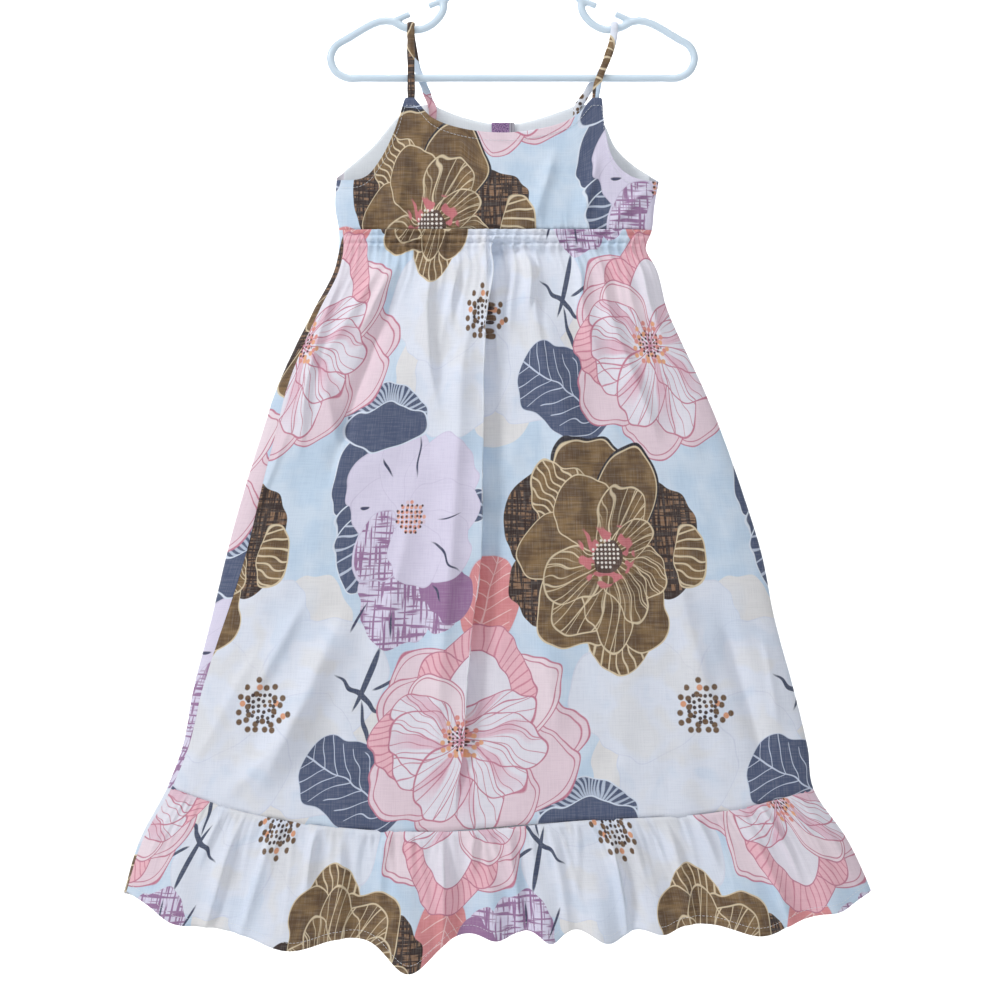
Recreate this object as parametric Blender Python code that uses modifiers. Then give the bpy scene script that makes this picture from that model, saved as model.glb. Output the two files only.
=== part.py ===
"""A girl's cotton sundress, hung by its straps on a child's tubular hanger.

Metres. X runs to the viewer's right, Y to the back, Z up. The front faces -Y. The origin is the
top of the hook's inside, where a rod carries the hanger. Every cloth panel lies on one flattened
tube, and is cut from it along its seams.
"""

import math
from collections import namedtuple

import bmesh
import bpy
import numpy as np

MM = 0.001
GARMENT = "sundress"

# Cloth walls and seams
WALL = 1.2 * MM
FACING_WALL = 1.0 * MM
SEAM_GAP = 0.3 * MM
ROUNDNESS = 2.5  # how square the tube's section is: 2 is an ellipse
SIDE_STRIP = 0.012  # share of the half width that the tube's narrow flat side takes
SEAM_STRIP = 0.0010  # share of it beside a seam that keeps the wall square there

# Heights below the hook
WAIST_SEAM = 281.4 * MM
FACING_DEPTH = 27 * MM

# Hanger, one moulded tube
TUBE_R = 3.4 * MM
BAR_DROP = 151.8 * MM
NECK_DROP = 61.5 * MM
HOOK_R = 20.4 * MM  # to the tube's centreline
HOOK_CENTRE_DROP = HOOK_R - TUBE_R
HOOK_STEM_TOP_DROP = 50 * MM
NOTCH_X = 86 * MM  # where a strap sits
NOTCH_DROP = 110.6 * MM

# Straps, narrow stitched tubes
STRAP_R = 3.1 * MM
STRAP_CLEARANCE = 0.3 * MM

# Size label in the back neck
LABEL_X, LABEL_TOP_DROP = -8 * MM, 188.5 * MM
LABEL_WIDTH, LABEL_HEIGHT, LABEL_WALL = 19.5 * MM, 15 * MM, 1.0 * MM

# The tube that the panels lie on: millimetres below the hook, its left and right edges, and how
# far its front and back stand from the hanger's plane
Section = namedtuple("Section", "drop left right front back")
SECTIONS = (
    Section(165, -149, 124, 9, 9),
    Section(238, -149, 124, 10, 9),
    Section(262, -150, 120, 10, 9),
    Section(281, -147, 118, 10, 9),
    Section(297, -147, 113, 10, 9),
    Section(312, -150, 121, 13, 10),
    Section(348, -168, 131, 16, 12),
    Section(382, -185, 146, 18, 13),
    Section(416, -200, 162, 20, 13),
    Section(450, -211, 176, 21, 14),
    Section(501, -227, 194, 22, 14),
    Section(552, -241, 210, 23, 15),
    Section(611, -255, 222, 24, 15),
    Section(670, -270, 238, 25, 16),
    Section(721, -280, 250, 26, 17),
    Section(752, -292, 254, 27, 18),
    Section(796, -315, 283, 29, 20),
    Section(839, -328, 303, 31, 22),
    Section(905, -345, 322, 32, 24),
)

# Upper edges of the bodice, from the left underarm to the right: x and drop, millimetres
Edge = namedtuple("Edge", "armhole_left strap_seat_left neck strap_seat_right armhole_right")
FRONT_EDGE = Edge(
    armhole_left=((-149, 239), (-125, 237.5), (-111, 223), (-99, 199), (-90, 171)),
    strap_seat_left=((-89, 170), (-82, 170)),
    neck=((-81, 171.5), (-66, 187.5), (-40, 196.5), (-8, 199.6), (24, 196), (50, 187), (65, 171.5)),
    strap_seat_right=((66, 170), (74, 170)),
    armhole_right=((74.5, 171.5), (77, 197), (84, 222), (100, 236.5), (124, 241)),
)
BACK_EDGE = Edge(
    armhole_left=((-149, 237), (-137, 227), (-117, 209), (-95, 183), (-76, 174)),
    strap_seat_left=((-74, 173.5), (-64, 175)),
    neck=((-62, 176.5), (-44, 183.5), (-22, 189), (-8, 190.3), (6, 189.3), (26, 184), (48, 176.5)),
    strap_seat_right=((50, 175), (60, 173.5)),
    armhole_right=((63, 174.5), (77, 191), (86, 210), (102, 226), (124, 240)),
)

# The seam above the ruffle, and the hem: place across (-1 to 1) and drop, millimetres
RUFFLE_SEAM = ((-1, 752), (-0.72, 772), (-0.17, 786), (0.23, 777), (0.65, 770), (1, 751))
HEM = ((-1, 839), (-0.85, 858), (-0.4, 872), (0, 866), (0.45, 862), (0.85, 852), (1, 835))

# How far the left seam lies on the front of the skirt, and the right seam on its back
SeamTurn = namedtuple("SeamTurn", "drop left right")
SEAM_TURNS = (
    SeamTurn(281, 5, 4),
    SeamTurn(380, 9, 6),
    SeamTurn(472, 16, 9),
    SeamTurn(553, 20, 11),
    SeamTurn(628, 14, 10),
    SeamTurn(745, 8, 7),
    SeamTurn(905, 6, 6),
)

# Largest folds of the skirt, as lines down the cloth: place across and drop at both ends, then
# height (a trough is negative) and half width, millimetres
Fold = namedtuple("Fold", "top top_drop foot foot_drop height half_width")
FRONT_FOLDS = (
    Fold(-0.035, 292, -0.115, 765, -7, 6),
    Fold(-0.110, 292, -0.190, 745, 4, 14),
    Fold(-0.56, 330, -0.66, 500, -3, 9),
    Fold(-0.52, 600, -0.72, 760, 4, 16),
    Fold(0.30, 310, 0.36, 640, 3, 18),
    Fold(0.80, 600, 0.84, 740, -3, 10),
)
BACK_FOLDS = (
    Fold(0.05, 292, 0.02, 770, -6, 7),
    Fold(-0.42, 300, -0.50, 700, 4, 16),
    Fold(0.45, 300, 0.58, 720, 4, 16),
)

# Waves of the ruffle's hem: place across, half width across, how far the crest stands out and
# how much lower it hangs, millimetres
Wave = namedtuple("Wave", "across half_width reach sag")
FRONT_WAVES = (
    Wave(-0.85, 0.060, 8, 5),
    Wave(-0.54, 0.095, 15, 11),
    Wave(-0.235, 0.075, 25, 28),
    Wave(-0.02, 0.045, 13, 8),
    Wave(0.115, 0.035, 12, 12),
    Wave(0.26, 0.050, 15, 12),
    Wave(0.40, 0.045, 10, 7),
    Wave(0.65, 0.085, 14, 10),
    Wave(0.87, 0.045, 8, 3),
)
BACK_WAVES = (
    Wave(-0.80, 0.060, 9, 5),
    Wave(-0.52, 0.080, 14, 9),
    Wave(-0.24, 0.060, 11, 7),
    Wave(0.02, 0.080, 15, 11),
    Wave(0.29, 0.060, 11, 8),
    Wave(0.55, 0.075, 14, 9),
    Wave(0.82, 0.055, 9, 4),
)

COTTON_BLUE = (0.62, 0.76, 0.88)
COTTON_PINK = (0.83, 0.60, 0.66)
LINING_WHITE = (0.86, 0.90, 0.93)
LABEL_PURPLE = (0.42, 0.30, 0.47)
HANGER_WHITE = (0.80, 0.87, 0.92)


def smooth(at, places, values):
    """Cubic curve through the points (places, values), read at `at`."""
    at, places, values = (np.asarray(v, float) for v in (at, places, values))
    slopes = np.gradient(values, places)
    i = np.clip(np.searchsorted(places, at, side="right") - 1, 0, len(places) - 2)
    width = places[i + 1] - places[i]
    t = np.clip((at - places[i]) / width, 0, 1)
    rise = (2 * t**3 - 3 * t**2 + 1) * values[i] + (3 * t**2 - 2 * t**3) * values[i + 1]
    bend = (t**3 - 2 * t**2 + t) * slopes[i] + (t**3 - t**2) * slopes[i + 1]
    return rise + bend * width


def section(drop, column):
    """One column of SECTIONS at a height, in metres."""
    drops = [row.drop for row in SECTIONS]
    return smooth(drop / MM, drops, [getattr(row, column) for row in SECTIONS]) * MM


def centre_and_half_width(drop):
    left, right = section(drop, "left"), section(drop, "right")
    return (left + right) / 2, (right - left) / 2


def turned_down(drop, column):
    """How far round the tube the side seam lies at a height."""
    drops = [row.drop for row in SEAM_TURNS]
    return smooth(drop / MM, drops, [getattr(row, column) for row in SEAM_TURNS]) * MM


def fold_height(across, drop, folds):
    """Sum of the skirt's folds at a point, each fading out at its ends."""
    height = np.zeros(np.broadcast(across, drop).shape)
    half_width = centre_and_half_width(drop)[1]
    for fold in folds:
        along = (drop / MM - fold.top_drop) / (fold.foot_drop - fold.top_drop)
        middle = fold.top + (fold.foot - fold.top) * along
        off_line = (across - middle) * half_width / (fold.half_width * MM)
        fade = np.clip(4 * along, 0, 1) * np.clip(4 * (1 - along), 0, 1)
        height += fold.height * MM * fade * np.exp(-(off_line**2))
    return height


def wave_height(across, share, waves, column):
    """Sum of the ruffle's waves, growing from its seam (share 0) to its hem (share 1)."""
    height = np.zeros(np.broadcast(across, share).shape)
    for wave in waves:
        shape = np.exp(-(((across - wave.across) / wave.half_width) ** 2))
        height += getattr(wave, column) * MM * shape
    return height * share**1.3


def tube_points(across, drop, side, height=0.0):
    """Points of the dress's outside. `across` is -1 at the left edge and 1 at the right; past
    either edge the point goes on round the other side. `side` is -1 for front and 1 for back."""
    across, drop, height = np.broadcast_arrays(across, drop, height)
    turned = np.abs(across) > 1
    across = np.where(turned, np.sign(across) * 2 - across, across)
    side = np.where(turned, -side, side)
    centre, half_width = centre_and_half_width(drop)
    depth = np.where(side < 0, section(drop, "front"), section(drop, "back"))
    off_centre = np.clip(across / (1 - SIDE_STRIP), -1, 1)
    swell = (1 - np.abs(off_centre) ** ROUNDNESS) ** (1 / ROUNDNESS)
    side_depth = half_width * np.minimum(1 - np.abs(across), SIDE_STRIP)
    fold = height * (1 - np.abs(across) ** 8)
    y = side_depth + (depth - half_width * SIDE_STRIP) * swell + fold
    y = side * np.maximum(y, SEAM_GAP / 2)
    return np.stack([centre + half_width * off_centre, y, -drop], axis=-1)


def points_inside(across, drop, side, inset):
    """Points a wall's depth inside the tube, square to it."""
    step = 0.002
    ahead = tube_points(np.minimum(across + step, 1), drop, side)
    behind = tube_points(np.maximum(across - step, -1), drop, side)
    along = ahead - behind
    inward = side * np.stack([along[..., 1], -along[..., 0], 0 * along[..., 2]], axis=-1)
    inward /= np.linalg.norm(inward, axis=-1, keepdims=True)
    return tube_points(across, drop, side) + inset * inward


def edge_gap(half_width):
    return SEAM_GAP / 2 / half_width


def columns(count, extra=()):
    """Places from -1 to 1 across a panel, closer together at its sides, where it turns."""
    t = np.linspace(-1, 1, count)
    beside_seams = [1 - SIDE_STRIP, 1 - SEAM_STRIP]
    base = 1.25 * t[1:-1] - 0.25 * t[1:-1] ** 5
    base = base[np.abs(base) < 1 - SIDE_STRIP]
    return np.unique(np.concatenate([[-1, 1], beside_seams, np.negative(beside_seams), base, extra]))


def new_material(name, colour, roughness):
    material = bpy.data.materials.new(name)
    material.use_nodes = True
    shader = material.node_tree.nodes["Principled BSDF"]
    shader.inputs["Base Color"].default_value = (*colour, 1)
    shader.inputs["Roughness"].default_value = roughness
    return material


def collection(name):
    made = bpy.data.collections.new(name)
    bpy.context.scene.collection.children.link(made)
    return made


def cloth_panel(name, grid, material, wall=WALL):
    """An open sheet through a grid of points, thickened inwards. Row 0 is its upper edge, and
    its columns run to the right as seen from outside."""
    rows, cols = grid.shape[:2]
    mesh = bpy.data.meshes.new(name)
    corner = np.arange(rows * cols).reshape(rows, cols)
    faces = np.stack([corner[:-1, :-1], corner[1:, :-1], corner[1:, 1:], corner[:-1, 1:]], axis=-1)
    mesh.from_pydata(grid.reshape(-1, 3).tolist(), [], faces.reshape(-1, 4).tolist())
    mesh.shade_smooth()
    panel = bpy.data.objects.new(name, mesh)
    panel.data.materials.append(material)
    bpy.data.collections[GARMENT].objects.link(panel)
    thicken = panel.modifiers.new("cloth wall", "SOLIDIFY")
    thicken.thickness = wall
    thicken.offset = -1
    return panel


def edge_line(edge, count):
    """An upper edge of the bodice at `count` places evenly spaced along it: (x, drop) pairs."""
    stretches = []
    for stretch in edge:
        points = np.array(stretch, float)
        places = np.arange(len(points))
        fine = np.linspace(0, len(points) - 1, 12 * (len(points) - 1) + 1)
        stretches.append(np.stack([smooth(fine, places, points[:, k]) for k in (0, 1)], axis=1))
    line = np.concatenate(stretches) * MM
    along = np.concatenate([[0], np.cumsum(np.linalg.norm(np.diff(line, axis=0), axis=1))])
    at = np.interp(np.linspace(0, 1, count), along / along[-1], np.arange(len(line)))
    return np.stack([np.interp(at, np.arange(len(line)), line[:, k]) for k in (0, 1)], axis=1)


def bodice_grid(edge, side, column_count=32, row_count=6, depth_limit=None, inset=0.0):
    """Points of a bodice panel from its upper edge to the waist seam, or to `depth_limit` below
    the edge. `inset` moves them in from the tube, for a facing."""
    top = edge_line(edge, column_count)
    centre, half_width = centre_and_half_width(top[:, 1])
    top_across = np.clip((top[:, 0] - centre) / half_width, -1, 1)
    even = np.linspace(-1, 1, column_count)
    foot_across = 0.6 * top_across + 0.4 * even
    for place, end in ((1, SIDE_STRIP - 1), (-2, 1 - SIDE_STRIP)):
        top_across[place] = foot_across[place] = end
    share = np.linspace(0, 1, row_count)[:, None]
    length = WAIST_SEAM - top[:, 1]
    if depth_limit is not None:
        share = share * np.clip(depth_limit / length, 0, 0.98)
    across = top_across + (foot_across - top_across) * share
    drop = top[:, 1] + length * share
    return points_inside(across, drop, side, inset)


def skirt_grid(side, folds, extra, row_count=12):
    """Points of a skirt panel, from the waist seam to the ruffle's seam."""
    base = columns(26, extra)
    share = np.linspace(0, 1, row_count)[:, None] ** 1.15
    return lower_grid(side, base, share, WAIST_SEAM + SEAM_GAP, seam_drop, folds, ())


def ruffle_grid(side, waves, row_count=4):
    """Points of a ruffle panel, from its seam to the hem."""
    base = columns(72)
    share = np.linspace(0, 1, row_count)[:, None]
    return lower_grid(side, base, share, None, hem_drop, (), waves)


def seam_drop(across):
    return smooth(across, *zip(*RUFFLE_SEAM)) * MM


def hem_drop(across):
    return smooth(across, *zip(*HEM)) * MM


def lower_grid(side, base, share, top_drop, foot_drop, folds, waves):
    """Grid between two heights, with both side edges moved round the tube to the side seams."""
    start = seam_drop(base) + SEAM_GAP if top_drop is None else top_drop
    end = foot_drop(base) + (wave_height(base, 1.0, waves, "sag") if waves else 0)
    drop = start + (end - start) * share
    half_width = centre_and_half_width(drop)[1]
    left = -side * turned_down(drop, "left") / half_width
    right = -side * turned_down(drop, "right") / half_width
    # On the front the left seam is inside the edge and the right one is past it
    start_across = -1 + left + edge_gap(half_width)
    end_across = 1 + right - edge_gap(half_width)
    across = start_across + (end_across - start_across) * (base + 1) / 2
    height = fold_height(across, drop, folds) + wave_height(across, share, waves, "reach")
    return tube_points(across, drop, side, height)


def smooth_route(points, steps=4):
    """Points along a smooth curve through a route, `steps` to each of its stretches."""
    points = np.array(points, float)
    along = np.concatenate([[0], np.cumsum(np.linalg.norm(np.diff(points, axis=0), axis=1))])
    at = np.interp(np.arange(0, len(points) - 1 + 0.5 / steps, 1 / steps), range(len(points)), along)
    return np.stack([smooth(at, along, points[:, k]) for k in range(3)], axis=1)


def tube(name, points, radius, material, home, cyclic=False):
    """A round tube along a route."""
    curve = bpy.data.curves.new(name, "CURVE")
    curve.dimensions = "3D"
    curve.bevel_depth = radius
    curve.bevel_resolution = 2
    curve.use_fill_caps = not cyclic
    spline = curve.splines.new("POLY")
    spline.points.add(len(points) - 1)
    for place, point in zip(spline.points, points):
        place.co = (*point, 1)
    spline.use_cyclic_u = cyclic
    made = bpy.data.objects.new(name, curve)
    curve.materials.append(material)
    home.objects.link(made)
    return made


def as_mesh(curve_object):
    """The same tube as a closed mesh, which a Boolean can take."""
    graph = bpy.context.evaluated_depsgraph_get()
    mesh = bpy.data.meshes.new_from_object(curve_object.evaluated_get(graph))
    welder = bmesh.new()
    welder.from_mesh(mesh)
    bmesh.ops.remove_doubles(welder, verts=welder.verts, dist=1e-6)
    welder.to_mesh(mesh)
    welder.free()
    made = bpy.data.objects.new(curve_object.name, mesh)
    made.matrix_world = curve_object.matrix_world
    home, name = curve_object.users_collection[0], curve_object.name
    bpy.data.objects.remove(curve_object)
    made.name = name
    home.objects.link(made)
    return made


def join(whole, *pieces):
    for piece in pieces:
        piece.hide_render = True
        piece.display_type = "WIRE"
        union = whole.modifiers.new(f"join {piece.name}", "BOOLEAN")
        union.operation = "UNION"
        union.object = piece


def build_hanger(parts, helpers, material):
    """One loop of tube with a notch for each strap, a lip on both sides of it, and a hook."""
    bar = -BAR_DROP
    half_loop = [
        (8, -62.5), (20, -67), (50, -79.5), (57.5, -86), (59, -95), (67, -105.5), (80, -111),
        (92, -108.8), (101.5, -104), (140, -118.6), (150, -125), (154, -134), (150, -146),
        (141, -151.4),
    ]
    right = [(x * MM, 0, z * MM) for x, z in half_loop]
    left = [(-x, y, z) for x, y, z in reversed(right)]
    lower = [(x * MM, 0, bar) for x in (125, 60, 0, -60, -125)]
    loop = smooth_route(right + lower + left + right[:1], steps=2)[:-1]
    frame = as_mesh(tube("hanger", loop, TUBE_R, material, parts, cyclic=True))

    around = [math.radians(a) for a in range(-50, 206, 17)]
    bow = [(HOOK_R * math.cos(a), 0, HOOK_R * math.sin(a) - HOOK_CENTRE_DROP) for a in around]
    stem = [(0, 0, -NECK_DROP), (0, 0, -HOOK_STEM_TOP_DROP), (5.5 * MM, 0, -40.5 * MM)]
    stem_route = smooth_route(stem + bow[:1], steps=3)
    hook_route = np.concatenate([stem_route, bow[1:]])
    pieces = [as_mesh(tube("hook", hook_route, TUBE_R * 0.97, material, helpers))]
    for side in (-1, 1):
        for name, root, tip in (
            ("outer lip", (103, -104.6), (87, -97.6)),
            ("inner lip", (56, -84.5), (71, -91)),
        ):
            ends = [(side * x * MM, 0, z * MM) for x, z in (root, tip)]
            pieces.append(as_mesh(tube(f"{name} {side}", ends, TUBE_R * 0.8, material, helpers)))
    join(frame, *pieces)


def build_strap(name, side, front_x, back_x, parts, material):
    """A strap from the front's strap seat, over the hanger's notch, to the inside of the back."""
    wrap_r = TUBE_R + STRAP_CLEARANCE + STRAP_R
    notch_x = side * NOTCH_X
    front_seat = tube_points(place_across(front_x, 0.170), 0.170, -1)
    back_seat = tube_points(place_across(back_x, 0.180), 0.180, 1)
    front_y = front_seat[1] + WALL / 2
    inside_y = back_seat[1] - WALL - FACING_WALL - SEAM_GAP - STRAP_CLEARANCE - STRAP_R - 0.2 * MM
    mid_front_x = (front_x + 2 * notch_x) / 3
    over = [math.radians(a) for a in range(-15, 196, 30)]
    wrap = [
        (notch_x, -wrap_r * math.cos(a), wrap_r * math.sin(a) - NOTCH_DROP) for a in over
    ]
    route = [
        (front_x, front_y, -0.170 + SEAM_GAP),
        (front_x + 0.1 * (notch_x - front_x), front_y, -0.158),
        (mid_front_x, -wrap_r - 0.4 * MM, -0.135),
        *wrap,
        (notch_x + 0.15 * (back_x - notch_x), wrap_r + 0.6 * MM, -0.132),
        (notch_x + 0.35 * (back_x - notch_x), wrap_r + 0.6 * MM, -0.146),
        (notch_x + 0.60 * (back_x - notch_x), wrap_r - 0.2 * MM, -0.157),
        (notch_x + 0.85 * (back_x - notch_x), inside_y + 0.7 * MM, -0.169),
        (back_x, inside_y, -0.176),
        (back_x + 0.02 * (back_x - notch_x), inside_y, -0.186),
    ]
    tube(name, smooth_route(route, steps=2), STRAP_R, material, parts)


def place_across(x, drop):
    centre, half_width = centre_and_half_width(drop)
    return (x - centre) / half_width


def build_label(parts, material):
    """A small folded label inside the back neck, against the facing."""
    middle_drop = LABEL_TOP_DROP + LABEL_HEIGHT / 2
    back = tube_points(place_across(LABEL_X, middle_drop), middle_drop, 1)
    y = back[1] - WALL - SEAM_GAP - FACING_WALL - SEAM_GAP - LABEL_WALL / 2 - 0.15 * MM
    bpy.ops.mesh.primitive_cube_add(size=1, location=(LABEL_X, y, -middle_drop))
    label = bpy.context.object
    label.name = "neck_label"
    label.scale = (LABEL_WIDTH, LABEL_WALL, LABEL_HEIGHT)
    bpy.ops.object.transform_apply(location=False, rotation=False, scale=True)
    label.data.materials.append(material)
    bpy.context.scene.collection.objects.unlink(label)
    parts.objects.link(label)


def mirrored(grid, side):
    """A back panel's columns run to the right as seen from behind."""
    return grid if side < 0 else grid[:, ::-1]


def main():
    for old in list(bpy.data.objects):
        bpy.data.objects.remove(old)
    parts, helpers = collection(GARMENT), collection("helpers")
    bpy.context.view_layer.active_layer_collection = bpy.context.view_layer.layer_collection
    print_blue = new_material("printed cotton, blue", COTTON_BLUE, 0.85)
    print_pink = new_material("printed cotton, pink", COTTON_PINK, 0.85)
    lining = new_material("plain cotton facing", LINING_WHITE, 0.85)
    woven = new_material("woven label", LABEL_PURPLE, 0.7)
    plastic = new_material("hanger plastic", HANGER_WHITE, 0.25)

    pleat = np.arange(-0.19, 0.0, 0.03)
    halves = (
        ("front", -1, FRONT_EDGE, FRONT_FOLDS, FRONT_WAVES, pleat),
        ("back", 1, BACK_EDGE, BACK_FOLDS, BACK_WAVES, -pleat),
    )
    for half, side, edge, folds, waves, extra in halves:
        cloth_panel(f"bodice_{half}", mirrored(bodice_grid(edge, side), side), print_blue)
        skirt = skirt_grid(side, folds, extra)
        cloth_panel(f"skirt_{half}", mirrored(skirt, side), print_blue)
        cloth_panel(f"ruffle_{half}", mirrored(ruffle_grid(side, waves), side), print_pink)
    facing = bodice_grid(BACK_EDGE, 1, 32, 3, FACING_DEPTH, WALL + 2 * SEAM_GAP)
    cloth_panel("back_facing", mirrored(facing, 1)[:, 2:-2], lining, FACING_WALL)
    build_label(parts, woven)
    build_hanger(parts, helpers, plastic)
    build_strap("strap_left", -1, -85.5 * MM, -68 * MM, parts, print_pink)
    build_strap("strap_right", 1, 70 * MM, 55 * MM, parts, print_pink)


main()
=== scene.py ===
"""Looks of a girl's printed cotton sundress, hung by its straps on a child's hanger.

Metres. X runs to the viewer's right, Y to the back, Z up; the front faces -Y. Every cloth panel
is a thin shell on the same flattened tube as its solid, with its own creases, gathers and hems.
The print is drawn in nodes over the flat cloth, so gathers squeeze it as they squeeze the cloth.
"""

import math
from collections import namedtuple

import bpy
import numpy as np
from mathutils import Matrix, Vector


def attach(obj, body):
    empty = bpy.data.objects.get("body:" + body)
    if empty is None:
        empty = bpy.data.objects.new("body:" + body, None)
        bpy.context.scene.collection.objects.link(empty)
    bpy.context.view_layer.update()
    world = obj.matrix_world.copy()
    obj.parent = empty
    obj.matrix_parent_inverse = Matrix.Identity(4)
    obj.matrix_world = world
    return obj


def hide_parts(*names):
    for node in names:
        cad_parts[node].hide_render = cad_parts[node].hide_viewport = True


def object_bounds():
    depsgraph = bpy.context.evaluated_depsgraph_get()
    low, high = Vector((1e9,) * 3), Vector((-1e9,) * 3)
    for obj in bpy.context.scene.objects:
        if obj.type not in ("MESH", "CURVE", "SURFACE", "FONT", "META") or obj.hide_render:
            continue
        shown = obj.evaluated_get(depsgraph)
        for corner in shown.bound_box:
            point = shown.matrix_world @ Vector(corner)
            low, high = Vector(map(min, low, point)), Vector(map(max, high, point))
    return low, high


MM = 0.001
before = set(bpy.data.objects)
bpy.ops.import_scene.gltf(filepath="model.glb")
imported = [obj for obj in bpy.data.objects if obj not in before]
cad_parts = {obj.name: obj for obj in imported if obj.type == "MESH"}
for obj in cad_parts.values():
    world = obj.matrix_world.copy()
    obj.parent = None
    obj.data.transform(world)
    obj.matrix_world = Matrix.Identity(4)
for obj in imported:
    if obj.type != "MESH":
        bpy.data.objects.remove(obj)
solid_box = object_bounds()

# ------------------------------------------------------------------ the dress's form
SEAM_GAP = 0.04 * MM
ROUNDNESS = 2.5
SIDE_STRIP = 0.012
SHELL = 0.55 * MM
WAIST_SEAM = 281.4 * MM
BAND_FOOT = 297 * MM
BAND_ROWS = (285.6 * MM, 292.3 * MM)  # elastic thread
HEM_DEPTH = 7 * MM
FACING_DEPTH = 27 * MM
DRESS_X = -13 * MM  # middle of the dress

Section = namedtuple("Section", "drop left right front back")
SECTIONS = (
    Section(165, -149, 124, 9, 9),
    Section(238, -149, 124, 10, 9),
    Section(262, -150, 120, 10, 9),
    Section(281, -147, 118, 10, 9),
    Section(297, -147, 113, 10, 9),
    Section(312, -150, 121, 13, 10),
    Section(348, -168, 131, 16, 12),
    Section(382, -185, 146, 18, 13),
    Section(416, -200, 162, 20, 13),
    Section(450, -211, 176, 21, 14),
    Section(501, -227, 194, 22, 14),
    Section(552, -241, 210, 23, 15),
    Section(611, -255, 222, 24, 15),
    Section(670, -270, 238, 25, 16),
    Section(721, -280, 250, 26, 17),
    Section(752, -292, 254, 27, 18),
    Section(796, -315, 283, 29, 20),
    Section(839, -328, 303, 31, 22),
    Section(905, -345, 322, 32, 24),
)

Edge = namedtuple("Edge", "armhole_left strap_seat_left neck strap_seat_right armhole_right")
FRONT_EDGE = Edge(
    armhole_left=((-149, 239), (-125, 237.5), (-111, 223), (-99, 199), (-90, 171)),
    strap_seat_left=((-89, 170), (-82, 170)),
    neck=((-81, 171.5), (-66, 187.5), (-40, 196.5), (-8, 199.6), (24, 196), (50, 187), (65, 171.5)),
    strap_seat_right=((66, 170), (74, 170)),
    armhole_right=((74.5, 171.5), (77, 197), (84, 222), (100, 236.5), (124, 241)),
)
BACK_EDGE = Edge(
    armhole_left=((-149, 237), (-137, 227), (-117, 209), (-95, 183), (-76, 174)),
    strap_seat_left=((-74, 173.5), (-64, 175)),
    neck=((-62, 176.5), (-44, 183.5), (-22, 189), (-8, 190.3), (6, 189.3), (26, 184), (48, 176.5)),
    strap_seat_right=((50, 175), (60, 173.5)),
    armhole_right=((63, 174.5), (77, 191), (86, 210), (102, 226), (124, 240)),
)

RUFFLE_SEAM = ((-1, 752), (-0.72, 772), (-0.17, 786), (0.23, 777), (0.65, 770), (1, 751))
HEM = ((-1, 839), (-0.85, 858), (-0.4, 872), (0, 866), (0.45, 862), (0.85, 852), (1, 835))

SeamTurn = namedtuple("SeamTurn", "drop left right")
SEAM_TURNS = (
    SeamTurn(281, 5, 4),
    SeamTurn(380, 9, 6),
    SeamTurn(472, 16, 9),
    SeamTurn(553, 20, 11),
    SeamTurn(628, 14, 10),
    SeamTurn(745, 8, 7),
    SeamTurn(905, 6, 6),
)

# Folds and creases as lines down the cloth: place across and drop at both ends, height (a trough
# is negative), and how wide each side of it is, millimetres
Fold = namedtuple("Fold", "top top_drop foot foot_drop height left_side right_side")
FRONT_FOLDS = (
    # the soft rolls that the whole skirt hangs in
    Fold(-0.110, 292, -0.190, 745, 6.0, 14, 14),
    Fold(-0.56, 330, -0.66, 500, -5.1, 9, 9),
    Fold(-0.52, 600, -0.72, 760, 6.8, 16, 16),
    Fold(0.30, 310, 0.36, 640, 5.1, 18, 18),
    Fold(0.80, 600, 0.84, 740, -5.1, 10, 10),
    # creases of their own length and depth
    Fold(-0.95, 300, -0.79, 472, 5.6, 9, 3.5),
    Fold(-0.42, 298, -0.22, 440, 4.6, 12, 4.0),
    Fold(-0.70, 300, -0.82, 392, 4.0, 4, 9),
    Fold(-0.86, 430, -0.96, 600, 3.4, 8, 4),
    Fold(0.22, 298, 0.21, 356, 4.4, 8, 3),
    Fold(0.88, 306, 0.90, 372, 4.2, 3.5, 7),
    Fold(-0.80, 395, -0.60, 480, 3.7, 8, 6),
    Fold(-0.66, 590, -0.81, 692, 3.2, 11, 6),
    Fold(-0.78, 626, -0.97, 748, 2.9, 6, 10),
    Fold(-0.56, 660, -0.80, 765, 2.7, 12, 7),
    Fold(0.93, 622, 0.90, 702, 2.7, 3.5, 6),
    Fold(0.12, 300, 0.10, 372, 3.7, 4, 7),
    Fold(0.235, 300, 0.275, 420, 2.9, 7, 4),
    Fold(0.50, 300, 0.53, 392, 3.4, 5, 8),
    Fold(0.64, 302, 0.70, 470, 4.1, 9, 6),
    Fold(0.78, 310, 0.80, 372, 3.4, 5, 7),
    Fold(-0.26, 302, -0.20, 366, 3.1, 5, 3.5),
    Fold(-0.62, 305, -0.68, 372, 3.6, 6, 5),
    Fold(0.02, 300, 0.045, 402, 2.5, 5, 3.5),
    Fold(0.44, 468, 0.50, 640, 2.5, 13, 9),
    Fold(-0.30, 500, -0.40, 655, 2.4, 9, 12),
    Fold(0.16, 520, 0.20, 720, 2.2, 12, 14),
    Fold(0.66, 560, 0.72, 730, 2.7, 14, 9),
)
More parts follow.
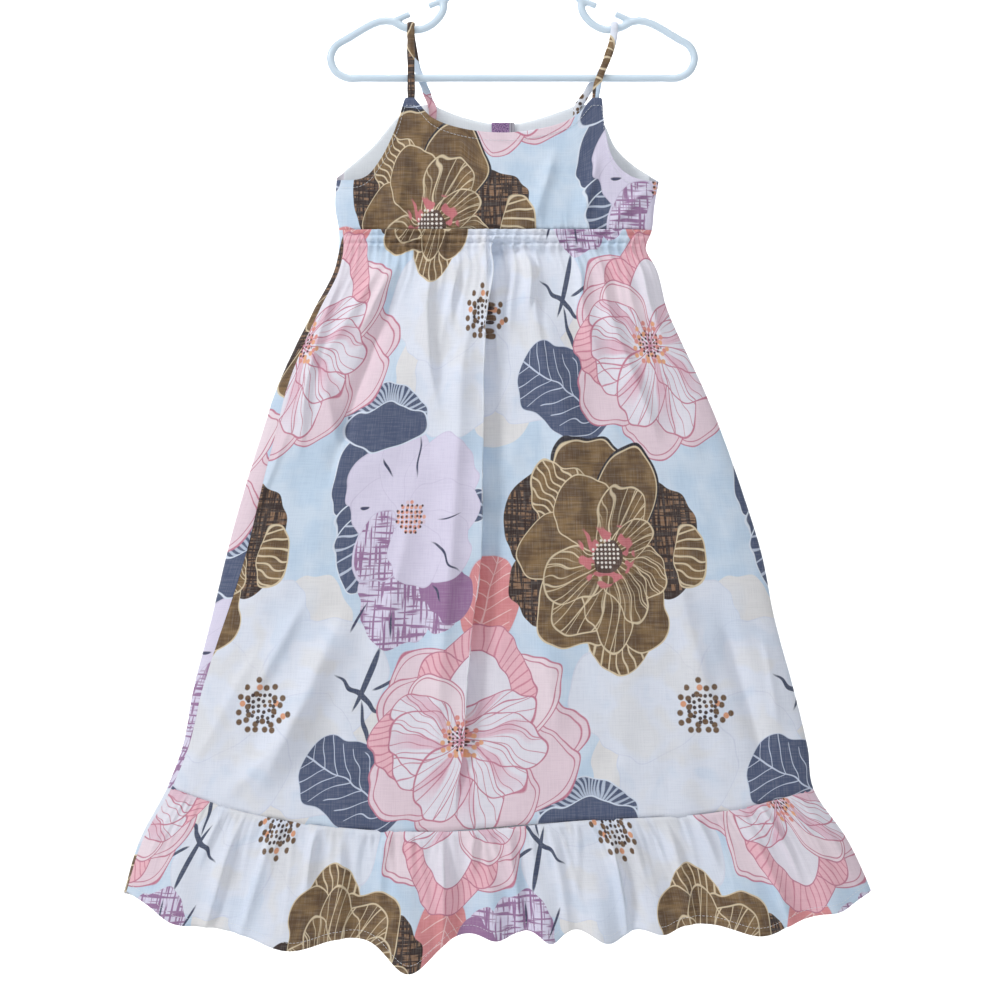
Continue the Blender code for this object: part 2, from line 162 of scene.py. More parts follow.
BACK_FOLDS = (
    Fold(0.05, 292, 0.02, 770, -7.8, 7, 7),
    Fold(-0.42, 300, -0.50, 700, 5.2, 16, 16),
    Fold(0.45, 300, 0.58, 720, 5.2, 16, 16),
    Fold(-0.82, 310, -0.88, 400, 3.1, 6, 9),
    Fold(-0.66, 302, -0.70, 430, 2.7, 8, 5),
    Fold(-0.24, 300, -0.26, 390, 2.6, 4, 7),
    Fold(-0.10, 300, -0.13, 470, 2.9, 9, 5),
    Fold(0.20, 300, 0.22, 362, 2.3, 5, 4),
    Fold(0.32, 302, 0.38, 440, 2.5, 5, 8),
    Fold(0.62, 304, 0.66, 395, 2.9, 7, 5),
    Fold(0.80, 312, 0.86, 480, 3.0, 6, 10),
    Fold(-0.72, 560, -0.60, 700, 2.1, 12, 8),
    Fold(-0.30, 540, -0.24, 735, 2.0, 9, 13),
    Fold(0.28, 480, 0.24, 690, 2.0, 11, 8),
    Fold(0.76, 590, 0.82, 742, 2.3, 8, 12),
)
# The deep pleat: the cloth on its left laps over the cloth on its right
PLEAT = ((292, -0.035), (380, -0.062), (480, -0.100), (560, -0.112), (640, -0.122), (775, -0.128))
PLEAT_LAP, PLEAT_RISE, PLEAT_STEP = 7.5 * MM, 5.5 * MM, 8.0 * MM
PLEAT_FROM, PLEAT_TO = 0.287, 0.775  # where it starts to open, and where it has run out
DENSE_REACH, DENSE_COUNT = 0.045, 44  # the closer columns on both sides of the pleat
CREST = 1.5  # under 2 gives the folds the crisp crests of pressed cotton
# how much taller and narrower the folds and flutes hang than the tables above and below say
FOLD_TALL, FOLD_NARROW = 1.6, 0.85
FLUTE_TALL, FLUTE_NARROW = 1.5, 0.8
HEM_STEP = 0.35 * MM  # a turned hem or edge stands out by this

Wave = namedtuple("Wave", "across half_width reach sag")
FRONT_WAVES = (
    Wave(-0.85, 0.060, 8, 5),
    Wave(-0.54, 0.095, 15, 11),
    Wave(-0.235, 0.075, 25, 28),
    Wave(-0.02, 0.045, 13, 8),
    Wave(0.115, 0.035, 12, 12),
    Wave(0.26, 0.050, 15, 12),
    Wave(0.40, 0.045, 10, 7),
    Wave(0.65, 0.085, 14, 10),
    Wave(0.87, 0.045, 8, 3),
)
BACK_WAVES = (
    Wave(-0.80, 0.060, 9, 5),
    Wave(-0.52, 0.080, 14, 9),
    Wave(-0.24, 0.060, 11, 7),
    Wave(0.02, 0.080, 15, 11),
    Wave(0.29, 0.060, 11, 8),
    Wave(0.55, 0.075, 14, 9),
    Wave(0.82, 0.055, 9, 4),
)
# Sharper flutes on the waves: place across at the seam and at the hem, where each starts and
# ends as a share of the ruffle's depth, height and the width of each side, millimetres
Flute = namedtuple("Flute", "top foot start end height left_side right_side")
FRONT_FLUTES = (
    Flute(-0.93, -0.95, 0.0, 0.9, 3.6, 4, 7),
    Flute(-0.78, -0.81, 0.0, 0.55, 3.0, 5, 3.5),
    Flute(-0.715, -0.745, 0.05, 1.3, 5.1, 8, 4),
    Flute(-0.61, -0.655, 0.0, 1.3, 4.5, 4.5, 8),
    Flute(-0.50, -0.505, 0.0, 0.6, 3.9, 3.5, 6),
    Flute(-0.42, -0.40, 0.1, 1.3, 3.9, 8, 5),
    Flute(-0.30, -0.315, 0.0, 0.8, 3.3, 4, 6),
    Flute(-0.14, -0.135, 0.0, 1.3, 5.4, 9, 4),
    Flute(-0.055, -0.075, 0.0, 0.5, 3.0, 3, 5),
    Flute(0.045, 0.055, 0.0, 1.3, 4.2, 6, 4),
    Flute(0.165, 0.175, 0.0, 1.3, 3.9, 4, 6),
    Flute(0.33, 0.325, 0.0, 1.3, 4.8, 5, 3.5),
    Flute(0.385, 0.40, 0.0, 0.6, 3.3, 3, 5),
    Flute(0.50, 0.49, 0.0, 1.3, 4.5, 7, 4),
    Flute(0.59, 0.60, 0.0, 0.5, 3.3, 4, 5),
    Flute(0.72, 0.745, 0.0, 1.3, 4.2, 5, 9),
    Flute(0.80, 0.81, 0.0, 0.7, 3.3, 3.5, 5),
    Flute(0.94, 0.955, 0.0, 1.0, 3.0, 6, 4),
)
BACK_FLUTES = (
    Flute(-0.90, -0.92, 0.0, 1.0, 3.3, 5, 7),
    Flute(-0.70, -0.72, 0.0, 1.3, 4.5, 4, 8),
    Flute(-0.63, -0.61, 0.0, 0.5, 3.0, 4, 4),
    Flute(-0.41, -0.43, 0.0, 1.3, 4.8, 8, 4),
    Flute(-0.33, -0.34, 0.0, 0.7, 3.6, 4, 6),
    Flute(-0.12, -0.10, 0.0, 1.3, 4.5, 5, 8),
    Flute(-0.05, -0.05, 0.0, 0.5, 3.0, 3, 4),
    Flute(0.13, 0.15, 0.0, 1.3, 4.8, 8, 4),
    Flute(0.22, 0.21, 0.0, 0.6, 3.3, 4, 5),
    Flute(0.40, 0.42, 0.0, 1.3, 4.2, 4, 7),
    Flute(0.49, 0.50, 0.0, 0.9, 3.6, 5, 4),
    Flute(0.68, 0.70, 0.0, 1.3, 4.5, 7, 5),
    Flute(0.90, 0.92, 0.0, 1.0, 3.0, 4, 6),
)
# Pulls and soft creases of the bodice
FRONT_BODICE_FOLDS = (
    Fold(-0.56, 205, -0.60, 279, 2.2, 8, 5),
    Fold(-0.36, 225, -0.33, 279, 1.8, 5, 8),
    Fold(-0.16, 232, -0.17, 281, 2.0, 6, 4),
    Fold(0.34, 212, 0.24, 281, 2.5, 9, 6),
    Fold(0.02, 240, 0.04, 281, 1.5, 5, 7),
    Fold(0.60, 215, 0.55, 280, 2.0, 7, 5),
    Fold(0.92, 246, 0.74, 276, 2.4, 5, 8),
    Fold(-0.90, 246, -0.78, 274, 1.8, 6, 6),
)
BACK_BODICE_FOLDS = (
    Fold(-0.60, 215, -0.52, 280, 2.0, 7, 5),
    Fold(-0.20, 230, -0.23, 281, 1.5, 5, 8),
    Fold(0.10, 225, 0.13, 281, 1.8, 6, 5),
    Fold(0.44, 215, 0.50, 280, 2.0, 8, 5),
    Fold(0.80, 245, 0.72, 278, 1.7, 5, 6),
)


def smooth(at, places, values):
    """Cubic curve through the points (places, values), read at `at`."""
    at, places, values = (np.asarray(v, float) for v in (at, places, values))
    slopes = np.gradient(values, places)
    i = np.clip(np.searchsorted(places, at, side="right") - 1, 0, len(places) - 2)
    width = places[i + 1] - places[i]
    t = np.clip((at - places[i]) / width, 0, 1)
    rise = (2 * t**3 - 3 * t**2 + 1) * values[i] + (3 * t**2 - 2 * t**3) * values[i + 1]
    bend = (t**3 - 2 * t**2 + t) * slopes[i] + (t**3 - t**2) * slopes[i + 1]
    return rise + bend * width


def section(drop, column):
    drops = [row.drop for row in SECTIONS]
    return smooth(drop / MM, drops, [getattr(row, column) for row in SECTIONS]) * MM


def centre_and_half_width(drop):
    left, right = section(drop, "left"), section(drop, "right")
    return (left + right) / 2, (right - left) / 2


def half_width_at(drop):
    return centre_and_half_width(drop)[1]


def turned_down(drop, column):
    drops = [row.drop for row in SEAM_TURNS]
    return smooth(drop / MM, drops, [getattr(row, column) for row in SEAM_TURNS]) * MM


def tube_points(across, drop, side, height=0.0):
    """Points of the dress's outside, standing `height` out from it."""
    across, drop, height = np.broadcast_arrays(across, drop, height)
    turned = np.abs(across) > 1
    across = np.where(turned, np.sign(across) * 2 - across, across)
    side = np.where(turned, -side, side)
    centre, half_width = centre_and_half_width(drop)
    depth = np.where(side < 0, section(drop, "front"), section(drop, "back"))
    off_centre = np.clip(across / (1 - SIDE_STRIP), -1, 1)
    swell = (1 - np.abs(off_centre) ** ROUNDNESS) ** (1 / ROUNDNESS)
    side_depth = half_width * np.minimum(1 - np.abs(across), SIDE_STRIP)
    fold = height * (1 - np.abs(across) ** 8)
    y = side_depth + (depth - half_width * SIDE_STRIP) * swell + fold
    y = side * np.maximum(y, SEAM_GAP / 2)
    return np.stack([centre + half_width * off_centre, y, -drop], axis=-1)


def bell(off, half_width):
    return np.exp(-((off / half_width) ** 2))


def ridge(off_line, left_side, right_side):
    """Height of a crease across its line, 1 on the line, with a side width for each side."""
    return np.exp(-np.abs(off_line / np.where(off_line < 0, left_side, right_side)) ** CREST)


def distance_along(points):
    """How far along its line each of the points lies."""
    steps = np.linalg.norm(np.diff(points, axis=0), axis=-1)
    return np.concatenate([np.zeros((1, *steps.shape[1:])), np.cumsum(steps, axis=0)])


def fade_ends(along):
    return np.clip(4 * along, 0, 1) * np.clip(4 * (1 - along), 0, 1)


def crease_height(across, drop, folds):
    height = np.zeros(np.broadcast(across, drop).shape)
    half_width = half_width_at(drop)
    for fold in folds:
        along = (drop / MM - fold.top_drop) / (fold.foot_drop - fold.top_drop)
        line = fold.top + (fold.foot - fold.top) * along
        off_line = (across - line) * half_width / MM
        shape = ridge(off_line, FOLD_NARROW * fold.left_side, FOLD_NARROW * fold.right_side)
        height += FOLD_TALL * fold.height * MM * fade_ends(along) * shape
    return height


def flute_height(across, share, half_width, flutes):
    height = np.zeros(np.broadcast(across, share).shape)
    for flute in flutes:
        off_line = (across - flute.top - (flute.foot - flute.top) * share) * half_width / MM
        along = (share - flute.start) / (flute.end - flute.start)
        fade = np.clip(5 * along, 0, 1) * np.clip(2.5 * (1 - along), 0, 1)
        shape = ridge(off_line, FLUTE_NARROW * flute.left_side, FLUTE_NARROW * flute.right_side)
        height += FLUTE_TALL * flute.height * MM * fade * shape
    return height


def gathers(across, drop, seam, seed, count, longest, tallest):
    """Small ruches that a gathered seam pulls into the cloth just below it, each its own size."""
    pick = np.random.default_rng(seed)
    height = np.zeros(np.broadcast(across, drop).shape)
    half_width = half_width_at(drop)
    below = np.abs(drop - seam) / MM
    places = np.linspace(-0.99, 0.99, count) + pick.uniform(-0.7, 0.7, count) / count
    for place in places:
        length = longest * pick.uniform(0.12, 1.0) ** 1.6
        width = pick.uniform(0.9, 1.9) * (1 + below / (0.9 * longest))
        lean = pick.uniform(-0.06, 0.06) * below / 60
        off_line = (across - place - lean * (1 - abs(place))) * half_width / MM
        tall = tallest * pick.uniform(0.35, 1.0) * np.exp(-((below / length) ** 1.5))
        height += tall * MM * np.exp(-np.abs(off_line / width) ** CREST)
    return height


def fine_rumple(across, drop, seed, size, count=26):
    """Faint uneven creasing, as cotton keeps after it has been folded and washed."""
    pick = np.random.default_rng(seed)
    total = np.zeros(np.broadcast(across, drop).shape)
    half_width = half_width_at(drop)
    x, z = across * half_width / MM, drop / MM
    for _ in range(count):
        angle = pick.normal(0, 0.55)
        wave_length = pick.uniform(16, 60)
        run = x * math.cos(angle) + z * math.sin(angle)
        sway = pick.uniform(4, 12) * np.sin((z - x) / pick.uniform(40, 90) + pick.uniform(0, 6))
        total += np.sin((run + sway) / wave_length * 2 * math.pi + pick.uniform(0, 6))
    return total * size * MM / math.sqrt(count)


def columns(count, dense=()):
    """Places from -1 to 1 across a panel, closer at its sides and round each place in `dense`."""
    t = np.linspace(-1, 1, count)
    base = 1.25 * t - 0.25 * t**5
    extra = [np.linspace(p - DENSE_REACH, p + DENSE_REACH, DENSE_COUNT) for p in dense]
    base = [b for b in base if all(abs(b - p) > DENSE_REACH for p in dense)]
    sides = [1 - SIDE_STRIP, SIDE_STRIP - 1]
    return np.unique(np.concatenate([base, sides, *extra]))


def turned_edge(from_edge):
    """The cloth is double, and so stands out a little, down to the stitching of its turned edge."""
    return HEM_STEP * np.clip(1 - (from_edge - HEM_DEPTH) / (0.6 * MM), 0, 1)


def seam_drop(across):
    return smooth(across, *zip(*RUFFLE_SEAM)) * MM


def hem_drop(across, waves):
    sag = sum(w.sag * bell(across - w.across, w.half_width) for w in waves)
    return smooth(across, *zip(*HEM)) * MM + sag * MM


def turned_across(base, drop, side):
    """Where a panel's columns lie across the tube, with its side seams moved round it."""
    half_width = half_width_at(drop)
    start = -1 - side * turned_down(drop, "left") / half_width + SEAM_GAP / 2 / half_width
    end = 1 - side * turned_down(drop, "right") / half_width - SEAM_GAP / 2 / half_width
    return start + (end - start) * (base + 1) / 2


# ------------------------------------------------------------------ the cloth's flat layout
REPEAT, ROW_STEP = 383.0, 330.0  # the print's repeat across, and between its staggered rows
RUFFLE_FULLNESS, RUFFLE_MIDDLE = 1.35, 0.80  # cloth in its width, and the drop where that holds
# where the back panels are cut from the print, from the place mirrored with the panel
BACK_SKIRT_CUT, BACK_RUFFLE_CUT, BACK_BODICE_CUT = (-19, 122), (40, 30), (150, 60)


def skirt_flat(across, drop):
    """Flat place of the skirt's cloth, millimetres: it is eased in towards the waist."""
    centre, half_width = centre_and_half_width(drop)
    x = (centre + half_width * across - DRESS_X) / MM
    ease = 0.55 * np.exp(-(drop / MM - 289) / 161)
    lean = 1.02 - 0.18 * np.tanh(x / 25)
    return np.stack([x * (1 + ease * lean), -drop / MM], axis=-1)


def ruffle_flat(across, drop):
    """The ruffle is cut the other way up and gathered onto the skirt."""
    centre, half_width = centre_and_half_width(RUFFLE_MIDDLE)
    x = (centre + half_width * across - DRESS_X) / MM
    return np.stack([-x * RUFFLE_FULLNESS - 70.3, drop / MM - 1467.3], axis=-1)


def bodice_flat(points):
    """The bodice's left side is eased in more than its right, and its neck is eased too."""
    x, z = (points[..., 0] - DRESS_X) / MM + 58.4, points[..., 2] / MM
    at_neck = np.clip((x - 28) / 26, 0, 1) * np.clip((150 - x) / 30, 0, 1)
    y = z - 277.8 + 23 * at_neck * np.clip((z + 252) / 34, 0, 1)
    return np.stack([97.4 + np.where(x < 0, 1.45 * x, x), y], axis=-1)


# ------------------------------------------------------------------ meshes
DRESS = bpy.data.collections.new("sundress looks")
bpy.context.scene.collection.children.link(DRESS)


def add(name, data, material=None):
    """A new object in the dress's collection."""
    made = bpy.data.objects.new(name, data)
    if material:
        made.data.materials.append(material)
    DRESS.objects.link(made)
    return made


def lay_flat(mesh, flat):
    """Gives each corner of a mesh its place on the flat cloth, in millimetres."""
    order = np.empty(len(mesh.loops), np.int32)
    mesh.loops.foreach_get("vertex_index", order)
    layout = mesh.uv_layers.new(name="cloth")
    layout.data.foreach_set("uv", (flat.reshape(-1, 2)[order] * MM).ravel())


def grid_mesh(name, points, flat, materials):
    """A sheet through a grid of points. Row 0 is its upper edge, and its columns run to the
    right as seen from outside. `flat` is the cloth's flat place, in millimetres."""
    rows, cols = points.shape[:2]
    corner = np.arange(rows * cols).reshape(rows, cols)
    faces = np.stack([corner[:-1, :-1], corner[1:, :-1], corner[1:, 1:], corner[:-1, 1:]], axis=-1)
    mesh = bpy.data.meshes.new(name)
    mesh.from_pydata(points.reshape(-1, 3).tolist(), [], faces.reshape(-1, 4).tolist())
    lay_flat(mesh, flat)
    mesh.shade_smooth()
    for material in materials:
        mesh.materials.append(material)
    return add(name, mesh)


def shell(sheet, wall=SHELL, inside_material=1):
    thicken = sheet.modifiers.new("cloth", "SOLIDIFY")
    thicken.thickness = wall
    thicken.offset = -1
    thicken.material_offset = inside_material
    return sheet


def facing_out(side, *grids):
    """A back panel's columns run to the right as seen from behind."""
    return grids if side < 0 else tuple(grid[:, ::-1] for grid in grids)


def skirt_panel(side):
    dense = (PLEAT[0][1],) if side < 0 else ()
    base = columns(250, dense)
    band = np.linspace(0, BAND_FOOT - WAIST_SEAM, 15)
    rest = np.linspace(0, 1, 105)[1:] ** 1.12
    foot = seam_drop(base) + 0.6 * MM
    drop = np.concatenate([
        np.broadcast_to((WAIST_SEAM - 0.3 * MM + band)[:, None], (len(band), len(base))),
        BAND_FOOT + (foot - BAND_FOOT) * rest[:, None],
    ])
    line = smooth(drop[:, :1] / MM, *zip(*PLEAT))
    near = bell(base - PLEAT[0][1], 0.30)
    followed = base + (line - PLEAT[0][1]) * near if side < 0 else base + 0 * drop
    across = turned_across(followed, drop, side)
    half_width = half_width_at(drop)
    height = crease_height(across, drop, FRONT_FOLDS if side < 0 else BACK_FOLDS)
    height += skirt_gathers(across, drop, 3 if side < 0 else 5)
    height += fine_rumple(across, drop, 11 - side, 0.66) * np.clip((drop - BAND_FOOT) / 0.06, 0, 1)
    height += side_puckers(across, drop, side)
    flat = skirt_flat(across, drop)
    if side > 0:
        flat = flat * (-1, 1) + BACK_SKIRT_CUT
    lap = 0
    if side < 0:
        off = (followed - line) * half_width
        fade = np.clip((drop - PLEAT_FROM) / 0.012, 0, 1)
        fade = fade * np.clip((PLEAT_TO - drop) / 0.10, 0, 1)
        lap = -PLEAT_LAP * fade * bell(off - 2.6 * MM, 2.2 * MM)
        rise = PLEAT_RISE * ridge(off / MM, 13, 1.4)
        step = PLEAT_STEP * np.exp(-np.maximum(off - 1.2 * MM, 0) / (24 * MM)) * (off > 0)
        step *= np.clip(off / (2.4 * MM), 0, 1)
        height += fade * (rise - step)
    points = tube_points(across, drop, side, height)
    points[..., 0] += lap
    return facing_out(side, points, flat)


def skirt_gathers(across, drop, seed):
    """Ruches of the elastic band, and the gathers that run on below it."""
    in_band = np.clip((BAND_FOOT + 2 * MM - drop) / (4 * MM), 0, 1)
    pinch = 1 - 0.62 * sum(bell(drop - row, 1.3 * MM) for row in BAND_ROWS)
    ruche = gathers(across, drop, WAIST_SEAM + 7 * MM, seed, 104, 34, 2.9) * pinch
    puff = 2.2 * MM * in_band * (pinch - 0.5)
    below = gathers(across, drop, BAND_FOOT, seed + 20, 42, 95, 3.1)
    below *= np.clip((drop - WAIST_SEAM) / (14 * MM), 0, 1)
    return ruche * (0.35 + 0.65 * in_band) + puff + below


def side_puckers(across, drop, side):
    """Short level puckers beside the side seams."""
    half_width = half_width_at(drop)
    from_edge = (1 - np.abs(across)) * half_width / MM
    beat = np.sin(drop / MM / 4.6 + 1.3 * np.sin(drop / MM / 17) + side)
    strength = 0.5 + 0.5 * np.sin(drop / MM / 31 + side)
    return 0.55 * MM * beat * strength * bell(from_edge - 10, 9)


def ruffle_panel(side):
    waves = FRONT_WAVES if side < 0 else BACK_WAVES
    flutes = FRONT_FLUTES if side < 0 else BACK_FLUTES
    base = columns(420)
    share = np.linspace(0, 1, 44)[:, None] ** 1.05
    top = seam_drop(base) - 0.4 * MM
    foot = hem_drop(base, waves)
    drop = top + (foot - top) * share
    across = turned_across(base, drop, side)
    half_width = half_width_at(drop)
    reach = sum(w.reach * bell(across - w.across, w.half_width) for w in waves)
    height = reach * MM * share**1.3
    height = height + flute_height(across, share, half_width, flutes)
    height += gathers(across, drop, top, 31 + side, 110, 64, 3.4) * np.clip(share * 14, 0.25, 1)
    height += fine_rumple(across, drop, 41 + side, 0.45)
    height += turned_edge(foot - drop)
    # the seam allowance holds the cloth up in a small roll just below the seam
    height += 1.1 * MM * bell((drop - top) / MM - 3.0, 2.2)
    flat = ruffle_flat(across, drop)
    if side > 0:
        flat = flat * (-1, 1) + BACK_RUFFLE_CUT
    return facing_out(side, tube_points(across, drop, side, height), flat)


def edge_line(edge, count):
    """An upper edge of the bodice at `count` places evenly spaced along it: (x, drop) pairs."""
    stretches = []
    for stretch in edge:
        points = np.array(stretch, float)
        fine = np.linspace(0, len(points) - 1, 12 * (len(points) - 1) + 1)
        ends = range(len(points))
        stretches.append(np.stack([smooth(fine, ends, points[:, k]) for k in (0, 1)], axis=1))
    line = np.concatenate(stretches) * MM
    along = distance_along(line)
    at = np.interp(np.linspace(0, 1, count), along / along[-1], np.arange(len(line)))
    return np.stack([np.interp(at, np.arange(len(line)), line[:, k]) for k in (0, 1)], axis=1)


def bodice_places(edge, column_count, share, depth_limit=None):
    top = edge_line(edge, column_count)
    centre, half_width = centre_and_half_width(top[:, 1])
    top_across = np.clip((top[:, 0] - centre) / half_width, -1, 1)
    foot_across = 0.6 * top_across + 0.4 * np.linspace(-1, 1, column_count)
    length = WAIST_SEAM - top[:, 1]
    if depth_limit is not None:
        share = share * np.clip(depth_limit / length, 0, 0.98)
    across = top_across + (foot_across - top_across) * share
    return across, top[:, 1] + length * share


def bodice_panel(side):
    edge = FRONT_EDGE if side < 0 else BACK_EDGE
    folds = FRONT_BODICE_FOLDS if side < 0 else BACK_BODICE_FOLDS
    share = np.linspace(0, 1, 64)[:, None] ** 1.1
    across, drop = bodice_places(edge, 230, share)
    height = crease_height(across, drop, folds)
    height += gathers(across, drop, WAIST_SEAM, 51 + side, 48, 24, 1.5)
    height += fine_rumple(across, drop, 61 + side, 0.30)
    height += turned_edge(drop - drop[:1])
    height -= 0.8 * MM * bell(WAIST_SEAM - drop, 1.6 * MM)
    points = tube_points(across, drop, side, height)
    flat = bodice_flat(points)
    if side > 0:
        flat = flat * (-1, 1) + BACK_BODICE_CUT
    return facing_out(side, points, flat)


def facing_panel():
    """The plain facing inside the back neck and armholes, against the back bodice."""
    share = np.linspace(0, 1, 26)[:, None]
    across, drop = bodice_places(BACK_EDGE, 200, share, FACING_DEPTH)
    inset = 1.3 * MM + fine_rumple(across, drop, 71, 0.15)
    # it turns over the back's edge and is stitched there
    roll = np.clip(1 - (drop - drop[:1]) / (2.2 * MM), 0, 1)
    points = tube_points(across, drop, 1, -inset * (1 - roll) - 0.62 * MM * roll)
    points[..., 2] += 0.5 * MM * roll
    ends_cut = points[:, 6:-6]  # it stops short of the side seams
    return ends_cut, bodice_flat(ends_cut)


def sweep(name, route, width_of, material, cut_from):
    """A soft tube along a route. `width_of` gives each place's half width and half thickness, and
    `cut_from` is where on the flat cloth its strip starts."""
    count, sides = len(route), 14
    ahead = np.gradient(route, axis=0)
    ahead /= np.linalg.norm(ahead, axis=1, keepdims=True)
    level = np.array([1.0, 0, 0]) - ahead * ahead[:, :1]
    level /= np.linalg.norm(level, axis=1, keepdims=True)
    out = np.cross(ahead, level)
    along = distance_along(route)
    turn = np.linspace(0, 2 * math.pi, sides, endpoint=False)
    half_width, half_thick = width_of(along[:, None], turn[None])
    ring = route[:, None] + level[:, None] * (half_width * np.cos(turn))[..., None]
    ring = ring + out[:, None] * (half_thick * np.sin(turn))[..., None]
    corner = np.arange(count * sides).reshape(count, sides)
    following = np.roll(corner, -1, axis=1)
    quads = np.stack([corner[:-1], following[:-1], following[1:], corner[1:]], axis=-1)
    mesh = bpy.data.meshes.new(name)
    caps = [corner[0][::-1].tolist(), corner[-1].tolist()]
    mesh.from_pydata(ring.reshape(-1, 3).tolist(), [], quads.reshape(-1, 4).tolist() + caps)
    around = np.broadcast_to(cut_from[0] + np.cos(turn) * 3.4, (count, sides))
    down = np.broadcast_to(cut_from[1] - along[:, None] / MM, (count, sides))
    lay_flat(mesh, np.stack([around, down], axis=-1))
    mesh.shade_smooth()
    return add(name, mesh, material)


def smooth_route(points, steps):
    points = np.array(points, float)
    along, count = distance_along(points), len(points)
    at = np.interp(np.arange(0, count - 1 + 0.5 / steps, 1 / steps), range(count), along)
    return np.stack([smooth(at, along, points[:, k]) for k in range(3)], axis=1)


# ------------------------------------------------------------------ hanger and straps
TUBE_R = 3.4 * MM
BAR_DROP = 151.8 * MM
NECK_DROP = 61.5 * MM
HOOK_R = 20.4 * MM
HOOK_CENTRE_DROP = HOOK_R - TUBE_R
HOOK_STEM_TOP_DROP = 50 * MM
NOTCH_X, NOTCH_DROP = 86 * MM, 110.6 * MM
STRAP_HALF_WIDTH, STRAP_HALF_THICK = 3.15 * MM, 1.5 * MM
HALF_LOOP = (
    (8, -62.5), (20, -67), (50, -79.5), (57.5, -86), (59, -95), (67, -105.5), (80, -111),
    (92, -108.8), (101.5, -104), (140, -118.6), (150, -125), (154, -134), (150, -146),
    (141, -151.4),
)
LIPS = (((103, -104.6), (87, -97.6)), ((56, -84.5), (71, -91)))


def place_across(x, drop):
    centre, half_width = centre_and_half_width(drop)
    return (x - centre) / half_width


def round_tube(name, points, radius, cyclic=False):
    curve = bpy.data.curves.new(name, "CURVE")
    curve.dimensions = "3D"
    curve.bevel_depth = radius
    curve.bevel_resolution = 5
    curve.use_fill_caps = not cyclic
    spline = curve.splines.new("POLY")
    spline.points.add(len(points) - 1)
    for place, point in zip(spline.points, points):
        place.co = (*point, 1)
    spline.use_cyclic_u = cyclic
    return add(name, curve)


def settled(obj):
    """The object with its modifiers applied, as one plain mesh."""
    graph = bpy.context.evaluated_depsgraph_get()
    mesh = bpy.data.meshes.new_from_object(obj.evaluated_get(graph))
    name = obj.name
    bpy.data.objects.remove(obj)
    return add(name, mesh)


def joined(name, objects):
    """Several objects' meshes as one object."""
    vertices, faces, base = [], [], 0
    graph = bpy.context.evaluated_depsgraph_get()
    for obj in objects:
        mesh = obj.evaluated_get(graph).to_mesh()
        vertices += [tuple(obj.matrix_world @ v.co) for v in mesh.vertices]
        faces += [[base + i for i in p.vertices] for p in mesh.polygons]
        base += len(mesh.vertices)
    for obj in objects:
        bpy.data.objects.remove(obj)
    mesh = bpy.data.meshes.new(name)
    mesh.from_pydata(vertices, [], faces)
    return add(name, mesh)


def build_hanger(material):
    """One moulded tube with a notch for each strap, a lip on both sides of it, and a hook."""
    right = [(x * MM, 0, z * MM) for x, z in HALF_LOOP]
    left = [(-x, y, z) for x, y, z in reversed(right)]
    lower = [(x * MM, 0, -BAR_DROP) for x in (125, 60, 0, -60, -125)]
    loop = smooth_route(right + lower + left + right[:1], steps=7)[:-1]
    pieces = [round_tube("loop", loop, TUBE_R, cyclic=True)]
    around = [math.radians(a) for a in range(-50, 206, 5)]
    bow = [(HOOK_R * math.cos(a), 0, HOOK_R * math.sin(a) - HOOK_CENTRE_DROP) for a in around]
    stem = [(0, 0, -NECK_DROP), (0, 0, -HOOK_STEM_TOP_DROP), (5.5 * MM, 0, -40.5 * MM)]
    hook = np.concatenate([smooth_route(stem + bow[:1], steps=6), bow[1:]])
    pieces.append(round_tube("hook", hook, TUBE_R * 0.97))
    for side in (-1, 1):
        for root, tip in LIPS:
            ends = [(side * x * MM, 0, z * MM) for x, z in (root, tip)]
            pieces.append(round_tube("lip", ends, TUBE_R * 0.8))
    hanger = joined("hanger_looks", pieces)
    mould = hanger.modifiers.new("moulded in one", "REMESH")
    mould.mode = "VOXEL"
    mould.voxel_size = 0.85 * MM
    soften = hanger.modifiers.new("softened corners", "SMOOTH")
    soften.factor = 0.5
    soften.iterations = 5
    hanger = settled(hanger)
    hanger.data.shade_smooth()
    hanger.data.materials.clear()
    hanger.data.materials.append(material)
    return hanger


def strap_route(side, front_x, back_x):
    wrap_r = TUBE_R + STRAP_HALF_THICK + 0.15 * MM
    notch_x = side * NOTCH_X
    front_y = tube_points(place_across(front_x, 0.170), 0.170, -1)[1] + 2.2 * MM
    back_seat = tube_points(place_across(back_x, 0.180), 0.180, 1)
    inside_y = back_seat[1] - 3.4 * MM
    over = [math.radians(a) for a in range(-15, 196, 15)]
    wrap = [(notch_x, -wrap_r * math.cos(a), wrap_r * math.sin(a) - NOTCH_DROP) for a in over]

    def towards(x, share):
        return notch_x + share * (x - notch_x)

    return smooth_route([
        (front_x, front_y + 0.3 * MM, -0.1800),
        (front_x, front_y, -0.1715),
        (towards(front_x, 0.9), front_y, -0.159),
        (towards(front_x, 0.35), -wrap_r - 0.9 * MM, -0.135),
        (towards(front_x, 0.10), -wrap_r - 0.3 * MM, -0.122),
        *wrap,
        (towards(back_x, 0.15), wrap_r + 0.4 * MM, -0.132),
        (towards(back_x, 0.35), wrap_r + 0.6 * MM, -0.146),
        (towards(back_x, 0.60), wrap_r - 0.1 * MM, -0.157),
        (towards(back_x, 0.85), inside_y + 0.7 * MM, -0.169),
        (back_x, inside_y, -0.176),
        (towards(back_x, 1.02), inside_y, -0.186),
    ], steps=8)


def strap_width(along, turn):
    """A turned-through tube of cotton: flat, a little uneven, with a small ripple in its thickness.
    """
    uneven = 1 + 0.07 * np.sin(along / (3.1 * MM) + 2 * np.sin(along / (11 * MM)))
    rumple = 1 + 0.10 * np.sin(along / (1.7 * MM) + 3 * turn) * np.sin(along / (7 * MM))
    return STRAP_HALF_WIDTH * uneven * np.ones_like(turn), STRAP_HALF_THICK * rumple


